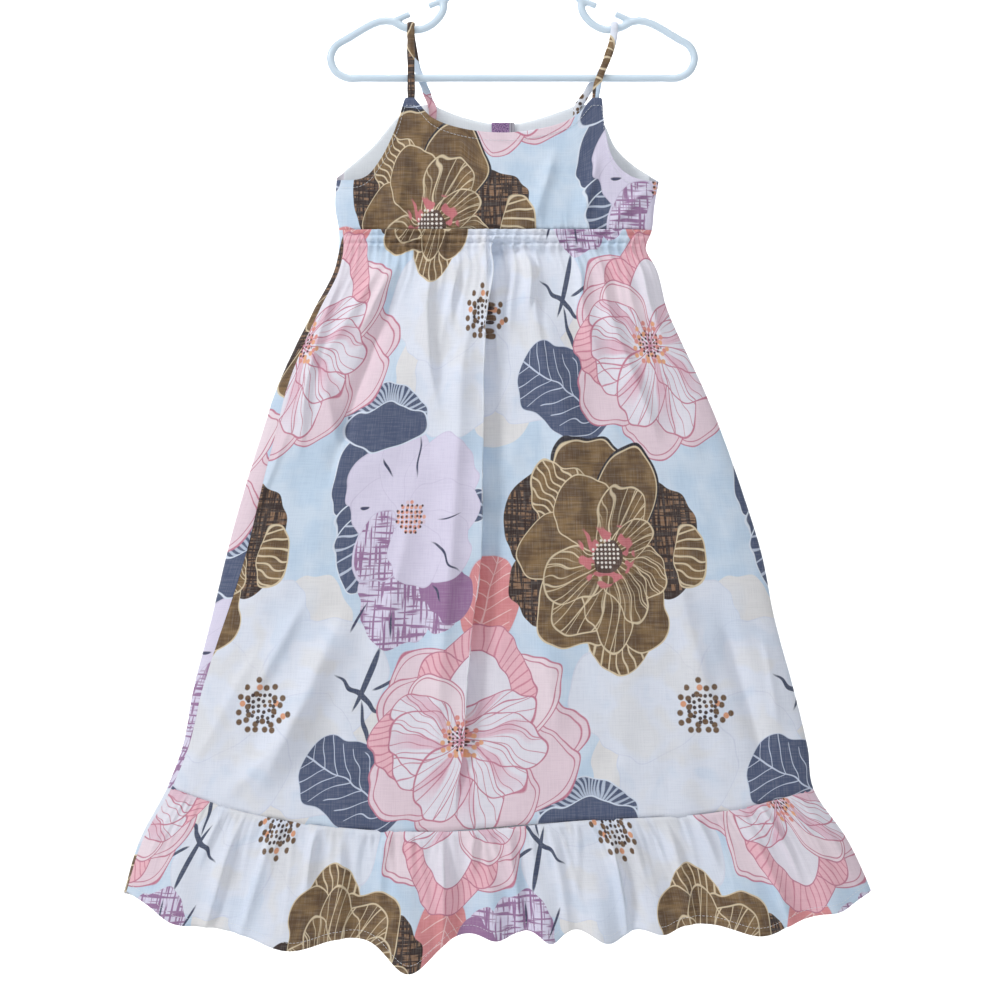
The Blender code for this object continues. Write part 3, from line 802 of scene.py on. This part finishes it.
def build_label(material):
    """A small folded label inside the back neck: its free end curls a little forward."""
    width, height, thick = 19.5 * MM, 15 * MM, 0.55 * MM
    top_drop, middle_x = 188.5 * MM, -8 * MM
    back_y = tube_points(place_across(middle_x, 0.196), 0.196, 1)[1] - 3.3 * MM
    across = np.linspace(-1, 1, 40)[None]
    share = np.linspace(0, 1, 30)[:, None]
    x = middle_x + across * width / 2 * (1 - 0.02 * share)
    y = back_y - 0.35 * MM * share**2 - 0.25 * MM * across**2 + 0.12 * MM * np.sin(5 * across)
    z = -top_drop - share * height + 0.25 * MM * across**2 * share
    points = np.stack(np.broadcast_arrays(x, y, z), axis=-1)
    flat = np.stack(np.broadcast_arrays(across * width / 2 / MM, -share * height / MM), axis=-1)
    return shell(grid_mesh("label_looks", points, flat, [material]), thick, 0)


def stitches(name, lines, material):
    """Rows of short plump stitches along each line of points, all in one mesh. Each line comes
    with the direction that is outwards at its points."""
    vertices, faces = [], []
    pitch, length, radius, lift = 3.1 * MM, 2.3 * MM, 0.17 * MM, 0.12 * MM
    sides, stations = 5, np.array([0.0, 0.18, 0.5, 0.82, 1.0])
    swell = np.array([0.35, 0.9, 1.0, 0.9, 0.35])
    dip = np.array([-1.0, 0.2, 0.7, 0.2, -1.0])
    turn = np.linspace(0, 2 * math.pi, sides, endpoint=False)
    for points, outward in lines:
        along = distance_along(points)
        starts = np.arange(pitch / 2, along[-1] - pitch, pitch)
        at = starts[:, None] + stations * length
        spot = np.stack([np.interp(at, along, points[:, k]) for k in range(3)], axis=-1)
        up = np.stack([np.interp(at, along, outward[:, k]) for k in range(3)], axis=-1)
        up /= np.linalg.norm(up, axis=-1, keepdims=True)
        ahead = spot[:, -1:] - spot[:, :1]
        ahead = ahead / np.maximum(np.linalg.norm(ahead, axis=-1, keepdims=True), 1e-9)
        beside = np.cross(np.broadcast_to(ahead, up.shape), up)
        spot = spot + up * (lift + dip * radius)[None, :, None]
        ring = (beside[:, :, None] * np.cos(turn)[:, None] + up[:, :, None] * np.sin(turn)[:, None])
        ring = spot[:, :, None] + ring * (radius * swell)[None, :, None, None]
        base = sum(len(v) for v in vertices)
        vertices.append(ring.reshape(-1, 3))
        corner = base + np.arange(ring[..., 0].size).reshape(ring.shape[:3])
        following = np.roll(corner, -1, axis=2)
        tube = [corner[:, :-1], corner[:, 1:], following[:, 1:], following[:, :-1]]
        faces += np.stack(tube, axis=-1).reshape(-1, 4).tolist()
        faces += corner[:, 0].tolist() + corner[:, -1, ::-1].tolist()
    mesh = bpy.data.meshes.new(name)
    mesh.from_pydata(np.concatenate(vertices).tolist(), [], faces)
    mesh.shade_smooth()
    return add(name, mesh, material)


def row_below_edge(points, depth, from_foot):
    """The line of a panel that lies `depth` from its upper edge, or from its foot, and the
    outward directions along it, short of the side seams."""
    rows = points[::-1] if from_foot else points
    along = distance_along(rows)
    line = np.empty((rows.shape[1], 3))
    for j in range(rows.shape[1]):
        for k in range(3):
            line[j, k] = np.interp(depth, along[:, j], rows[:, j, k])
    down = points[-1] - points[0]
    right = np.gradient(line, axis=0)
    outward = np.cross(down, right)
    outward /= np.linalg.norm(outward, axis=1, keepdims=True)
    return line[3:-3], outward[3:-3]


# ------------------------------------------------------------------ materials
def rgb(red, green, blue):
    """A colour given as seen on screen, 0 to 255, in the linear form that shaders use."""
    return tuple(
        (c / 12.92 if c <= 0.04045 else ((c + 0.055) / 1.055) ** 2.4)
        for c in (red / 255, green / 255, blue / 255)
    ) + (1,)


class Value:
    """A number that changes over a surface. Python maths on it adds Math nodes."""

    def __init__(self, finish, socket):
        self.finish, self.socket = finish, socket

    def math(self, operation, *others, clamp=False):
        return self.finish.math(operation, self, *others, clamp=clamp)

    def __add__(self, other):
        return self.math("ADD", other)

    def __radd__(self, other):
        return self.math("ADD", other)

    def __sub__(self, other):
        return self.math("SUBTRACT", other)

    def __rsub__(self, other):
        return self.finish.math("SUBTRACT", other, self)

    def __mul__(self, other):
        return self.math("MULTIPLY", other)

    def __rmul__(self, other):
        return self.math("MULTIPLY", other)

    def __abs__(self):
        return self.math("ABSOLUTE")

    def step(self, start, width):
        """0 below `start`, rising to 1 over `width`."""
        return self.math("MULTIPLY_ADD", 1 / width, -start / width, clamp=True)

    def line(self, half_width, soft=0.35):
        """1 or more where the number is near 0, as a drawn line, and below 0 elsewhere."""
        return abs(self).math("MULTIPLY_ADD", -1 / soft, half_width / soft + 0.5)


class Finish:
    """A material being put together, from nothing or from a copy of another."""

    def __init__(self, name, copied=None, **constants):
        self.material = copied.copy() if copied else bpy.data.materials.new(name)
        self.material.name = name
        self.material.use_nodes = True
        self.tree = self.material.node_tree
        self.shader = self.tree.nodes["Principled BSDF"]
        for socket, value in constants.items():
            self.shader.inputs[socket.replace("_", " ")].default_value = value

    def node(self, kind, inputs=None, **settings):
        made = self.tree.nodes.new(f"ShaderNode{kind}")
        for setting, value in settings.items():
            setattr(made, setting, value)
        self.feed(made, inputs or {})
        return made

    def feed(self, node, inputs):
        for key, value in inputs.items():
            socket = node.inputs[key]
            value = value.socket if isinstance(value, Value) else value
            if isinstance(value, bpy.types.NodeSocket):
                self.tree.links.new(value, socket)
            else:
                socket.default_value = value

    def math(self, operation, *numbers, clamp=False):
        made = self.node("Math", dict(enumerate(numbers)), operation=operation, use_clamp=clamp)
        return Value(self, made.outputs[0])

    def vector(self, operation, *vectors, out=0):
        made = self.node("VectorMath", dict(enumerate(vectors)), operation=operation)
        return made.outputs[out]

    def mix(self, factor, under, over):
        made = self.node("Mix", {0: factor, 6: under, 7: over}, data_type="RGBA")
        return made.outputs[2]

    def parts(self, vector):
        made = self.node("SeparateXYZ", {0: vector})
        return Value(self, made.outputs[0]), Value(self, made.outputs[1])

    def noise(self, vector, scale, detail=0.0):
        inputs = {"Vector": vector, "Scale": scale, "Detail": detail}
        return Value(self, self.node("TexNoise", inputs, noise_dimensions="2D").outputs[0])

    def streaks(self, flat, across, down):
        """Uneven threads, which run the way of the lower of the two scales."""
        return self.noise(self.vector("MULTIPLY", flat, (across, down, 1)), 1.0, 1.0)

    def ribs(self, number, pitch):
        return (number * (2 * math.pi / pitch)).math("SINE")

    def bumpy(self, height, strength, distance):
        relief = {"Height": height, "Strength": strength, "Distance": distance}
        self.feed(self.shader, {"Normal": self.node("Bump", relief).outputs[0]})

    def noise_through(self, scale, detail):
        """Noise through a solid piece, for what isn't cloth."""
        place = self.node("TexCoord").outputs["Object"]
        inputs = {"Vector": place, "Scale": scale, "Detail": detail}
        return Value(self, self.node("TexNoise", inputs).outputs[0])

    def flat_place(self):
        """The cloth's flat place, in millimetres."""
        uv = self.node("UVMap", uv_map="cloth").outputs[0]
        return self.vector("MULTIPLY", uv, (1 / MM, 1 / MM, 1))


SOFT = 0.45  # millimetres over which a painted edge fades
GROUND = rgb(202, 221, 240)
LINE_PINK = rgb(201, 124, 146)
CREAM = rgb(222, 203, 170)
DARK_BROWN = rgb(58, 42, 34)
NAVY = rgb(82, 92, 120)
LILAC, PURPLE = rgb(227, 220, 240), rgb(158, 118, 158)


# Each swing: turns across one repeat, half turns from row to row, size in millimetres, start
Swing = namedtuple("Swing", "across half_rows size start")
SWAY_ACROSS = (
    Swing(3, 1, 2.6, 0.4), Swing(-5, 2, 1.8, 2.1), Swing(9, 3, 1.1, 4.0),
    Swing(-13, 5, 0.75, 1.2), Swing(19, -4, 0.5, 3.3),
)
SWAY_DOWN = (
    Swing(-4, 1, 2.4, 1.7), Swing(5, 3, 1.7, 5.2), Swing(-10, 2, 1.1, 0.3),
    Swing(12, 6, 0.75, 2.6), Swing(-17, 7, 0.5, 4.8),
)


class Print:
    """The floral print, painted layer on layer over the cloth's flat layout."""

    def __init__(self, finish):
        self.f = finish
        self.flat = finish.flat_place()
        self.x, self.y = finish.parts(self.flat)
        self.drawn_x = self.hand_drawn(self.x, SWAY_ACROSS)
        self.drawn_y = self.hand_drawn(self.y, SWAY_DOWN)
        self.weft = finish.streaks(self.flat, 0.035, 0.40)
        self.warp = finish.streaks(self.flat, 0.40, 0.035)
        wash = finish.noise(self.flat, 0.03, 2.0).step(0.42, 0.2)
        self.colour = finish.mix(wash, GROUND, rgb(214, 228, 243))

    def hand_drawn(self, number, swings):
        """A flat coordinate with a slow, uneven sway, so that no edge is a clean arc. It repeats
        with the print."""
        for swing in swings:
            down = 2 * math.pi * (swing.half_rows - swing.across / 2) / ROW_STEP
            phase = self.y.math("MULTIPLY_ADD", down, swing.start)
            phase = self.x.math("MULTIPLY_ADD", 2 * math.pi * swing.across / REPEAT, phase)
            number = phase.math("SINE").math("MULTIPLY_ADD", swing.size, number)
        return number

    def paint(self, mask, colour):
        self.colour = self.f.mix(mask, self.colour, colour)

    def nearest(self, across, down, x, y, wait):
        """A place measured from the nearest copy of the motif at (x, y)."""
        row = down.math("MULTIPLY_ADD", 1 / ROW_STEP, wait).math("ADD", -y / ROW_STEP).math("ROUND")
        near_x = row.math("MULTIPLY_ADD", -REPEAT / 2, across) - x
        near_x = near_x.math("WRAP", REPEAT / 2, -REPEAT / 2)
        near_y = row.math("MULTIPLY_ADD", -ROW_STEP, down) - y
        return self.f.node("CombineXYZ", {0: near_x, 1: near_y, 2: 1.0}).outputs[0]

    def motif(self, x, y):
        """Starts a motif, drawn round (x, y) and round every repeat of it. The far too small
        share of the colour below makes each motif wait for the one under it: a material this
        long would otherwise hold too many numbers at once, and come out black."""
        painted = Value(self.f, self.f.node("SeparateColor", {0: self.colour}).outputs[0])
        wait = painted * 1e-7
        self.place = self.nearest(self.drawn_x, self.drawn_y, x, y, wait)
        self.dot_place = self.nearest(self.x, self.y, x, y, wait)
        px, py = self.f.parts(self.place)
        squares = {0: px * px, 1: px * py, 2: py * py}
        self.squares = self.f.node("CombineXYZ", squares).outputs[0]
        self.out = Value(self.f, self.f.vector("LENGTH", self.place, out=1))
        self.round = py.math("ARCTAN2", px)

    def inside(self, angle, reach, half_width, start=0.0, grown=0.0):
        """A mask of a petal's shape: above 0 inside its edge, and 1 from SOFT further in. The
        petal runs from `start` to `reach` from the motif's middle, at `angle` degrees from the
        right, going up. It is an ellipse, so the mask is a quadratic in the place."""
        c, s = math.cos(math.radians(angle)), math.sin(math.radians(angle))
        middle, half_length = (start + reach) / 2, (reach - start) / 2
        a, b = 1 / half_length**2, 1 / half_width**2
        scale = min(half_length, half_width) * 0.55 / SOFT
        second = (a * c * c + b * s * s, 2 * c * s * (a - b), a * s * s + b * c * c)
        first = [scale * 2 * a * middle * n for n in (c, s)]
        first.append(scale * (1 - a * middle**2) + grown / SOFT)
        return self.dot(self.squares, [-scale * n for n in second]) + self.dot(self.place, first)

    def dot(self, vector, weights):
        return Value(self.f, self.f.vector("DOT_PRODUCT", vector, tuple(weights), out=1))

    def turned(self, angle):
        """The place along a line at `angle` through the motif's middle, and off it."""
        c, s = math.cos(math.radians(angle)), math.sin(math.radians(angle))
        return self.dot(self.place, (c, s, 0)), self.dot(self.place, (-s, c, 0))

    def fan(self, count, width, curl=0.0, phase=0.0):
        """Lines that spread from the motif's middle, as a mask of even line width."""
        turns = self.round.math("MULTIPLY_ADD", count / (2 * math.pi), phase)
        if curl:
            turns = self.out.math("MULTIPLY_ADD", curl, turns)
        off = turns.math("PINGPONG", 0.5) * self.out
        return off.math("MULTIPLY_ADD", -2 * math.pi / count / 0.5, width / 0.5 + 0.5, clamp=True)

    def petal(self, shape, fill, edge=None, veins=None, vein_colour=None, line=0.55, double=0.0):
        """A petal, its outline `line` wide on both sides of its edge, and a second one within."""
        mask = self.inside(*shape, grown=-line if edge else 0.0)
        if edge:
            self.paint(mask + 2 * line / SOFT, edge)
        self.paint(mask, fill)
        if veins is not None:
            self.paint(veins.math("MINIMUM", mask), vein_colour)
        if double:
            self.paint((mask - double / SOFT).line(line * 0.7 / SOFT, 1.0), edge)
        return mask

    def dots(self, pitch, radius, reach, colours, start=0.0, loose=0.35, share=0.5):
        """A cluster of dots round the motif's middle, `share` of them in the first colour."""
        cells = self.f.node(
            "TexVoronoi",
            {"Vector": self.dot_place, "Scale": 1 / pitch, "Randomness": loose},
            voronoi_dimensions="2D",
        )
        far = Value(self.f, self.f.vector("LENGTH", cells.outputs["Position"], out=1))
        where = far.step(reach, -0.1) * far.step(start, 0.1) if start else far.step(reach, -0.1)
        dot = Value(self.f, cells.outputs["Distance"]).step(radius / pitch, -0.12)
        pick = self.f.parts(cells.outputs["Color"])[0]
        colour = self.f.mix(pick.step(share, 0.02), *colours)
        self.paint(dot * where, colour)


def draw_white_flower(p):
    p.motif(177.9, -682.8)
    cream, white = rgb(234, 232, 232), rgb(231, 235, 246)
    for shape in ((62, 118, 44), (-12, 120, 40), (150, 112, 40), (215, 116, 38), (-78, 112, 40)):
        p.petal(shape, cream)
    for shape in ((98, 116, 46), (25, 118, 50), (-45, 116, 48), (-118, 114, 46), (172, 116, 50)):
        p.petal(shape, white, rgb(222, 226, 240), line=0.5)
    wash = p.f.noise(p.place, 0.021, 2.0)
    near = p.out.step(112, -40)
    p.paint(wash.step(0.50, 0.10) * near * 0.55, rgb(232, 230, 229))
    p.paint(wash.step(0.44, -0.08) * near * 0.6, rgb(214, 226, 243))
    p.dots(7.4, 3.0, 24, (rgb(112, 84, 58), rgb(226, 160, 122)), start=9, loose=0.6, share=0.72)
    p.dots(4.6, 1.9, 14, (rgb(70, 54, 50), rgb(112, 84, 58)), loose=0.45, share=0.6)


def draw_stems(p):
    p.motif(-120.3, -670.1)
    for shape in ((62, 44, 3.0, -16), (150, 24, 2.6, -30), (-70, 52, 2.4, 4), (20, 40, 1.8, 12)):
        p.petal(shape, rgb(72, 80, 104))


def draw_leaf(p, x, y, reach, half_width, tilt, fill, vein, count):
    """A broad leaf with a pale midrib and side veins."""
    p.motif(x, y)
    back = rgb(205, 214, 232)
    shape = (tilt, reach, half_width, -reach)
    mask = p.petal(shape, fill, back, line=0.35)
    along, off = p.turned(tilt)
    midrib = off.line(0.7)
    slant = (along - abs(off) * 0.85) * (count / reach)
    ribs = (slant.math("PINGPONG", 0.5) * (reach / count)).line(0.5)
    p.paint(midrib.math("MINIMUM", mask), vein)
    p.paint(ribs.math("MINIMUM", mask) * abs(off).step(half_width * 0.78, -1.5), vein)


def draw_lilac_flower(p):
    p.motif(-82.2, -523.6)
    edge, pale = rgb(226, 234, 246), rgb(196, 204, 222)
    fan = p.fan(46, 0.9, phase=0.2)
    for shape in ((140, 92, 44), (104, 100, 26), (192, 74, 30)):
        p.petal(shape, NAVY, edge, line=0.6)
    for shape in ((214, 84, 34), (6, 72, 15, 44)):
        p.petal(shape, NAVY, edge, fan, pale)
    hatch = p.weft.math("MAXIMUM", p.warp).step(0.52, 0.10)
    for shape in ((-98, 112, 36), (-70, 98, 30)):
        p.petal(shape, LILAC, None, hatch, PURPLE)
    p.petal((-60, 96, 20, 40), PURPLE)
    for shape in ((-138, 66, 28), (140, 78, 34), (172, 62, 26)):
        p.petal(shape, LILAC, rgb(214, 206, 228), line=0.4)
    p.petal((-136, 64, 27, 8), LILAC, rgb(214, 206, 228), hatch, PURPLE)
    for shape in ((98, 82, 28), (50, 80, 32), (8, 62, 30), (-42, 66, 30), (-78, 62, 24)):
        p.petal(shape, LILAC, rgb(218, 210, 232), line=0.4)
    ink = rgb(70, 72, 100)
    for shape in (
        (84, 70, 1.4, 30), (122, 58, 1.5, 38), (2, 48, 1.1, 24), (-44, 66, 1.4, 26),
        (-66, 76, 1.3, 60), (-118, 106, 1.6, 78), (170, 54, 1.7, 42), (-95, 104, 1.2, 84),
    ):
        p.petal(shape, ink)
    p.dots(4.1, 1.9, 13, (rgb(232, 160, 140), rgb(236, 172, 150)), loose=0.1)
    p.dots(4.6, 1.35, 14.5, (rgb(66, 48, 50), rgb(90, 62, 60)), loose=0.3)


def draw_pink_flower(p):
    p.motif(-31.3, -708.2)
    pale, light, white = rgb(238, 215, 224), rgb(243, 224, 231), rgb(238, 233, 242)
    salmon, deep = rgb(242, 190, 200), rgb(217, 140, 158)
    veins = p.fan(13, 0.5, 0.010, 0.2).math("MAXIMUM", p.fan(39, 0.34, 0.012) * p.out.step(14, 22))
    hatch = p.fan(76, 0.6, 0.004, 0.4)
    for shape in (
        (122, 88, 34), (150, 76, 30), (4, 106, 32), (-22, 104, 40), (-58, 94, 38),
        (-100, 96, 38), (-140, 92, 36),
    ):
        p.petal(shape, pale, LINE_PINK, double=3.4)
    p.petal((38, 102, 36), light, LINE_PINK, double=3.0)
    for shape in ((66, 96, 46), (110, 78, 20, 20), (188, 76, 34)):
        p.petal(shape, salmon, LINE_PINK, hatch, deep)
    p.petal((68, 72, 33), white, LINE_PINK)
    p.petal((128, 62, 22), light, LINE_PINK, double=2.4)
    band = p.round.math("MULTIPLY_ADD", 8.0, 0.6).math("SINE").step(0.30, 0.35)
    tinted = p.f.mix(band * p.out.step(72, -30), white, rgb(232, 196, 210))
    for shape in (
        (158, 62, 21), (-152, 66, 27), (186, 64, 25), (-72, 80, 25), (-112, 78, 25),
        (24, 72, 22), (-38, 68, 24), (-4, 74, 23),
    ):
        p.petal(shape, tinted, LINE_PINK, veins, LINE_PINK)
    p.dots(5.6, 2.4, 19, (rgb(235, 172, 132), rgb(226, 148, 138)), start=7, loose=0.6)
    p.dots(3.6, 1.25, 11.5, (rgb(76, 48, 50), rgb(110, 66, 62)), loose=0.35)


def draw_brown_flower(p):
    p.motif(97.4, -554.1)
    scratch = p.weft.math("MINIMUM", p.warp).step(0.46, 0.12)
    rough = p.f.mix(scratch, DARK_BROWN, rgb(146, 112, 84))
    mottled = p.f.noise(p.place, 0.05, 2.0) * 0.65 + p.weft * 0.35
    brown = p.f.mix(mottled.step(0.40, 0.2), rgb(101, 77, 51), rgb(137, 109, 72))
    veins = p.fan(22, 0.5, 0.016, 0.3).math("MAXIMUM", p.fan(46, 0.35, 0.016) * p.out.step(20, 26))
    hatch = p.fan(72, 0.75, 0.0, 0.2)
    for shape in ((152, 98, 46), (205, 92, 36), (24, 92, 44), (-6, 84, 34)):
        p.petal(shape, rough)
    p.petal((0, 94, 25, 62), brown, CREAM, hatch, CREAM)
    for shape in ((100, 100, 36), (66, 92, 28)):
        p.paint(p.inside(*shape, grown=2.6), rgb(44, 40, 46))
        p.petal(shape, brown, CREAM)
    for shape in ((128, 92, 30), (-84, 98, 36)):
        p.petal(shape, brown, CREAM, hatch, CREAM)
    for shape in ((-60, 90, 28), (-120, 90, 34), (176, 80, 30), (112, 70, 28)):
        p.petal(shape, brown, CREAM)
    for shape in (
        (-30, 60, 22), (62, 62, 21), (26, 50, 17), (-118, 78, 26), (-88, 82, 22),
        (-146, 62, 20), (-62, 64, 17),
    ):
        p.petal(shape, brown, CREAM, veins, CREAM)
    blotch = p.f.noise(p.place, 0.13).step(0.47, 0.05) * p.out.step(27, -2)
    p.paint(blotch, rgb(206, 120, 124))
    p.paint(p.out.step(13.5, -0.5), rgb(92, 70, 60))
    p.dots(3.7, 1.35, 13, (rgb(246, 236, 228), rgb(250, 242, 232)), loose=0.0)


def draw_navy_ruffle(p):
    p.motif(78.8, -770)
    fan = p.fan(40, 0.9)
    p.petal((90, 26, 44, -22), NAVY, rgb(222, 230, 244), fan, rgb(190, 200, 218))
    p.petal((96, 10, 46, -26), NAVY, rgb(222, 230, 244))


def cotton(name, plain=None):
    """Slubby plain-weave cotton, printed or of one plain colour."""
    constants = {"Sheen_Weight": 0.18, "Sheen_Roughness": 0.5, "Specular_IOR_Level": 0.25}
    f = Finish(name, Roughness=0.86, **constants)
    if plain is None:
        p = Print(f)
        draw_white_flower(p)
        draw_stems(p)
        draw_leaf(p, -124.5, -746.4, 50, 38, 150, NAVY, rgb(206, 214, 232), 4.0)
        draw_leaf(p, -8.5, -593.9, 42, 28, 80, rgb(226, 146, 148), rgb(246, 206, 206), 3.6)
        draw_lilac_flower(p)
        draw_navy_ruffle(p)
        draw_pink_flower(p)
        draw_brown_flower(p)
        flat, colour = p.flat, p.colour
    else:
        flat, colour = f.flat_place(), plain
    thread = (f.streaks(flat, 0.05, 1.1) + f.streaks(flat, 1.1, 0.05)) * 0.5
    colour = f.mix(thread.step(0.42, 0.22) * 0.07, colour, rgb(250, 250, 252))
    colour = f.mix(thread.step(0.54, -0.20) * 0.06, colour, rgb(96, 104, 130))
    f.feed(f.shader, {"Base Color": colour})
    x, y = f.parts(flat)
    weave = f.ribs(x, 0.62) + f.ribs(y, 0.62)
    f.bumpy(weave * 0.15 + thread * 1.2 + f.noise(flat, 0.13, 1.0) * 2.0, 0.35, 0.25 * MM)
    return f.material


def wrong_side_of(material, name):
    """The same cloth from its other side, where the print shows only faintly."""
    f = Finish(name, copied=material)
    colour = f.shader.inputs["Base Color"].links[0].from_socket
    f.feed(f.shader, {"Base Color": f.mix(0.62, colour, rgb(232, 236, 242))})
    return f.material


def hanger_plastic():
    f = Finish("hanger plastic", Roughness=0.22, Specular_IOR_Level=0.5, IOR=1.49)
    flow, scuff = f.noise_through(26, 3), f.noise_through(420, 3)
    f.feed(f.shader, {
        "Base Color": f.mix(flow, rgb(207, 225, 239), rgb(220, 234, 245)),
        "Roughness": scuff.math("MULTIPLY_ADD", 0.16, 0.16),
    })
    f.bumpy(flow, 0.08, 0.6 * MM)
    return f.material


def woven_label():
    f = Finish("woven label", Roughness=0.55, Sheen_Weight=0.2)
    flat = f.flat_place()
    x, y = f.parts(flat)
    mottle = f.noise(flat, 0.9, 2.0)
    colour = f.mix(mottle.step(0.42, 0.14), rgb(104, 74, 122), rgb(178, 140, 184))
    colour = f.mix(x.step(5.2, 0.5), colour, rgb(176, 172, 182))
    colour = f.mix((x - 7.4).line(0.25), colour, rgb(72, 66, 80))
    f.feed(f.shader, {"Base Color": colour})
    f.bumpy(f.ribs(y, 0.5) + mottle * 2, 0.4, 0.1 * MM)
    return f.material


def sewing_thread():
    f = Finish("sewing thread", Roughness=0.6, Sheen_Weight=0.3)
    ply = f.noise_through(900, 1)
    f.feed(f.shader, {"Base Color": f.mix(ply, rgb(226, 232, 240), rgb(250, 250, 250))})
    return f.material


# ------------------------------------------------------------------ putting it together
printed = cotton("printed cotton")
wrong_side = wrong_side_of(printed, "printed cotton, wrong side")
facing = cotton("plain cotton facing", plain=rgb(242, 246, 250))

shown = {}
for half, side in (("front", -1), ("back", 1)):
    for part, build in (("bodice", bodice_panel), ("skirt", skirt_panel), ("ruffle", ruffle_panel)):
        points, flat = build(side)
        sheet = shell(grid_mesh(f"{part}_{half}_cloth", points, flat, [printed, wrong_side]))
        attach(sheet, "root")
        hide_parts(f"{part}_{half}")
        shown[f"{part}_{half}"] = (sheet, points)

points, flat = facing_panel()
sheet = shell(grid_mesh("facing_cloth", points[:, ::-1], flat[:, ::-1], [facing, facing]))
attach(sheet, "root")
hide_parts("back_facing")
shown["back_facing"] = (sheet, points[:, ::-1])

for name, side, front_x, back_x, cut_from in (
    ("strap_left", -1, -85.5 * MM, -68 * MM, (22, -496)),
    ("strap_right", 1, 70 * MM, 55 * MM, (183, -515)),
):
    route = strap_route(side, front_x, back_x)
    strap = sweep(f"{name}_cloth", route, strap_width, printed, cut_from)
    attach(strap, "root")
    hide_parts(name)

label = build_label(woven_label())
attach(label, "root")
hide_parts("neck_label")

hanger = build_hanger(hanger_plastic())
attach(hanger, "root")
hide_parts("hanger")

edge_rows = [
    row_below_edge(shown[f"{part}_{half}"][1], depth, from_foot=part == "ruffle")
    for part, depth in (("ruffle", 6.8 * MM), ("bodice", 6.6 * MM)) for half in ("front", "back")
]
seams = stitches("edge_stitches", edge_rows, sewing_thread())
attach(seams, "root")

# ------------------------------------------------------------------ studio
VIEW_X, VIEW_Z = -10.6 * MM, -509.2 * MM
camera_data = bpy.data.cameras.new("camera")
camera_data.lens = 76.5
camera_data.sensor_width = 36
camera = bpy.data.objects.new("camera", camera_data)
camera.location = (VIEW_X, -1.8, VIEW_Z)
camera.rotation_euler = (math.radians(90), 0, 0)
bpy.context.scene.collection.objects.link(camera)
bpy.context.scene.camera = camera


def build_studio(material):
    """A pale floor that sweeps up into a backdrop, far enough back to walk round the dress."""
    floor_z, wall_y, bend = float(solid_box[0][2]) - 0.45, 3.3, 0.7
    profile = [(-3.8, floor_z), (wall_y - bend, floor_z)]
    profile += [
        (wall_y - bend + bend * math.sin(a), floor_z + bend - bend * math.cos(a))
        for a in np.linspace(0.1, math.pi / 2, 14)
    ]
    profile.append((wall_y, 3.2))
    vertices = [(x, y, z) for x in (-4.5, 4.5) for y, z in profile]
    n = len(profile)
    faces = [(i, i + 1, n + i + 1, n + i) for i in range(n - 1)]
    mesh = bpy.data.meshes.new("studio_sweep")
    mesh.from_pydata(vertices, [], faces)
    mesh.shade_smooth()
    sweep_object = bpy.data.objects.new("studio_sweep", mesh)
    mesh.materials.append(material)
    bpy.context.scene.collection.objects.link(sweep_object)


def area_light(name, place, target, size, power, colour):
    data = bpy.data.lights.new(name, "AREA")
    data.shape = "RECTANGLE"
    data.size, data.size_y = size
    data.energy = power
    data.color = colour
    light = bpy.data.objects.new(name, data)
    light.location = place
    direction = Vector(target) - Vector(place)
    light.rotation_euler = direction.to_track_quat("-Z", "Y").to_euler()
    bpy.context.scene.collection.objects.link(light)


build_studio(Finish("studio paper", Roughness=0.9, Base_Color=rgb(246, 246, 246)).material)
world = bpy.data.worlds.new("studio")
bpy.context.scene.world = world
world.use_nodes = True
sky = world.node_tree.nodes["Background"].inputs
sky["Color"].default_value = (0.93, 0.96, 1.0, 1)
sky["Strength"].default_value = 0.37
area_light("key", (-3.1, -2.0, 1.3), (0, 0, -0.55), (1.1, 1.1), 70, (0.97, 0.985, 1.0))
area_light("fill", (1.8, -1.8, -0.2), (0, 0, -0.5), (1.4, 1.4), 5, (0.94, 0.97, 1.0))
area_light("neck light", (0, -0.55, 0.85), (0, 0, -0.19), (0.7, 0.4), 5, (1.0, 1.0, 1.0))
area_light("wall wash", (0, 1.9, 1.9), (0, 3.3, -0.3), (3.2, 0.5), 110, (1.0, 1.0, 1.0))
bpy.context.scene.view_settings.view_transform = "Standard"
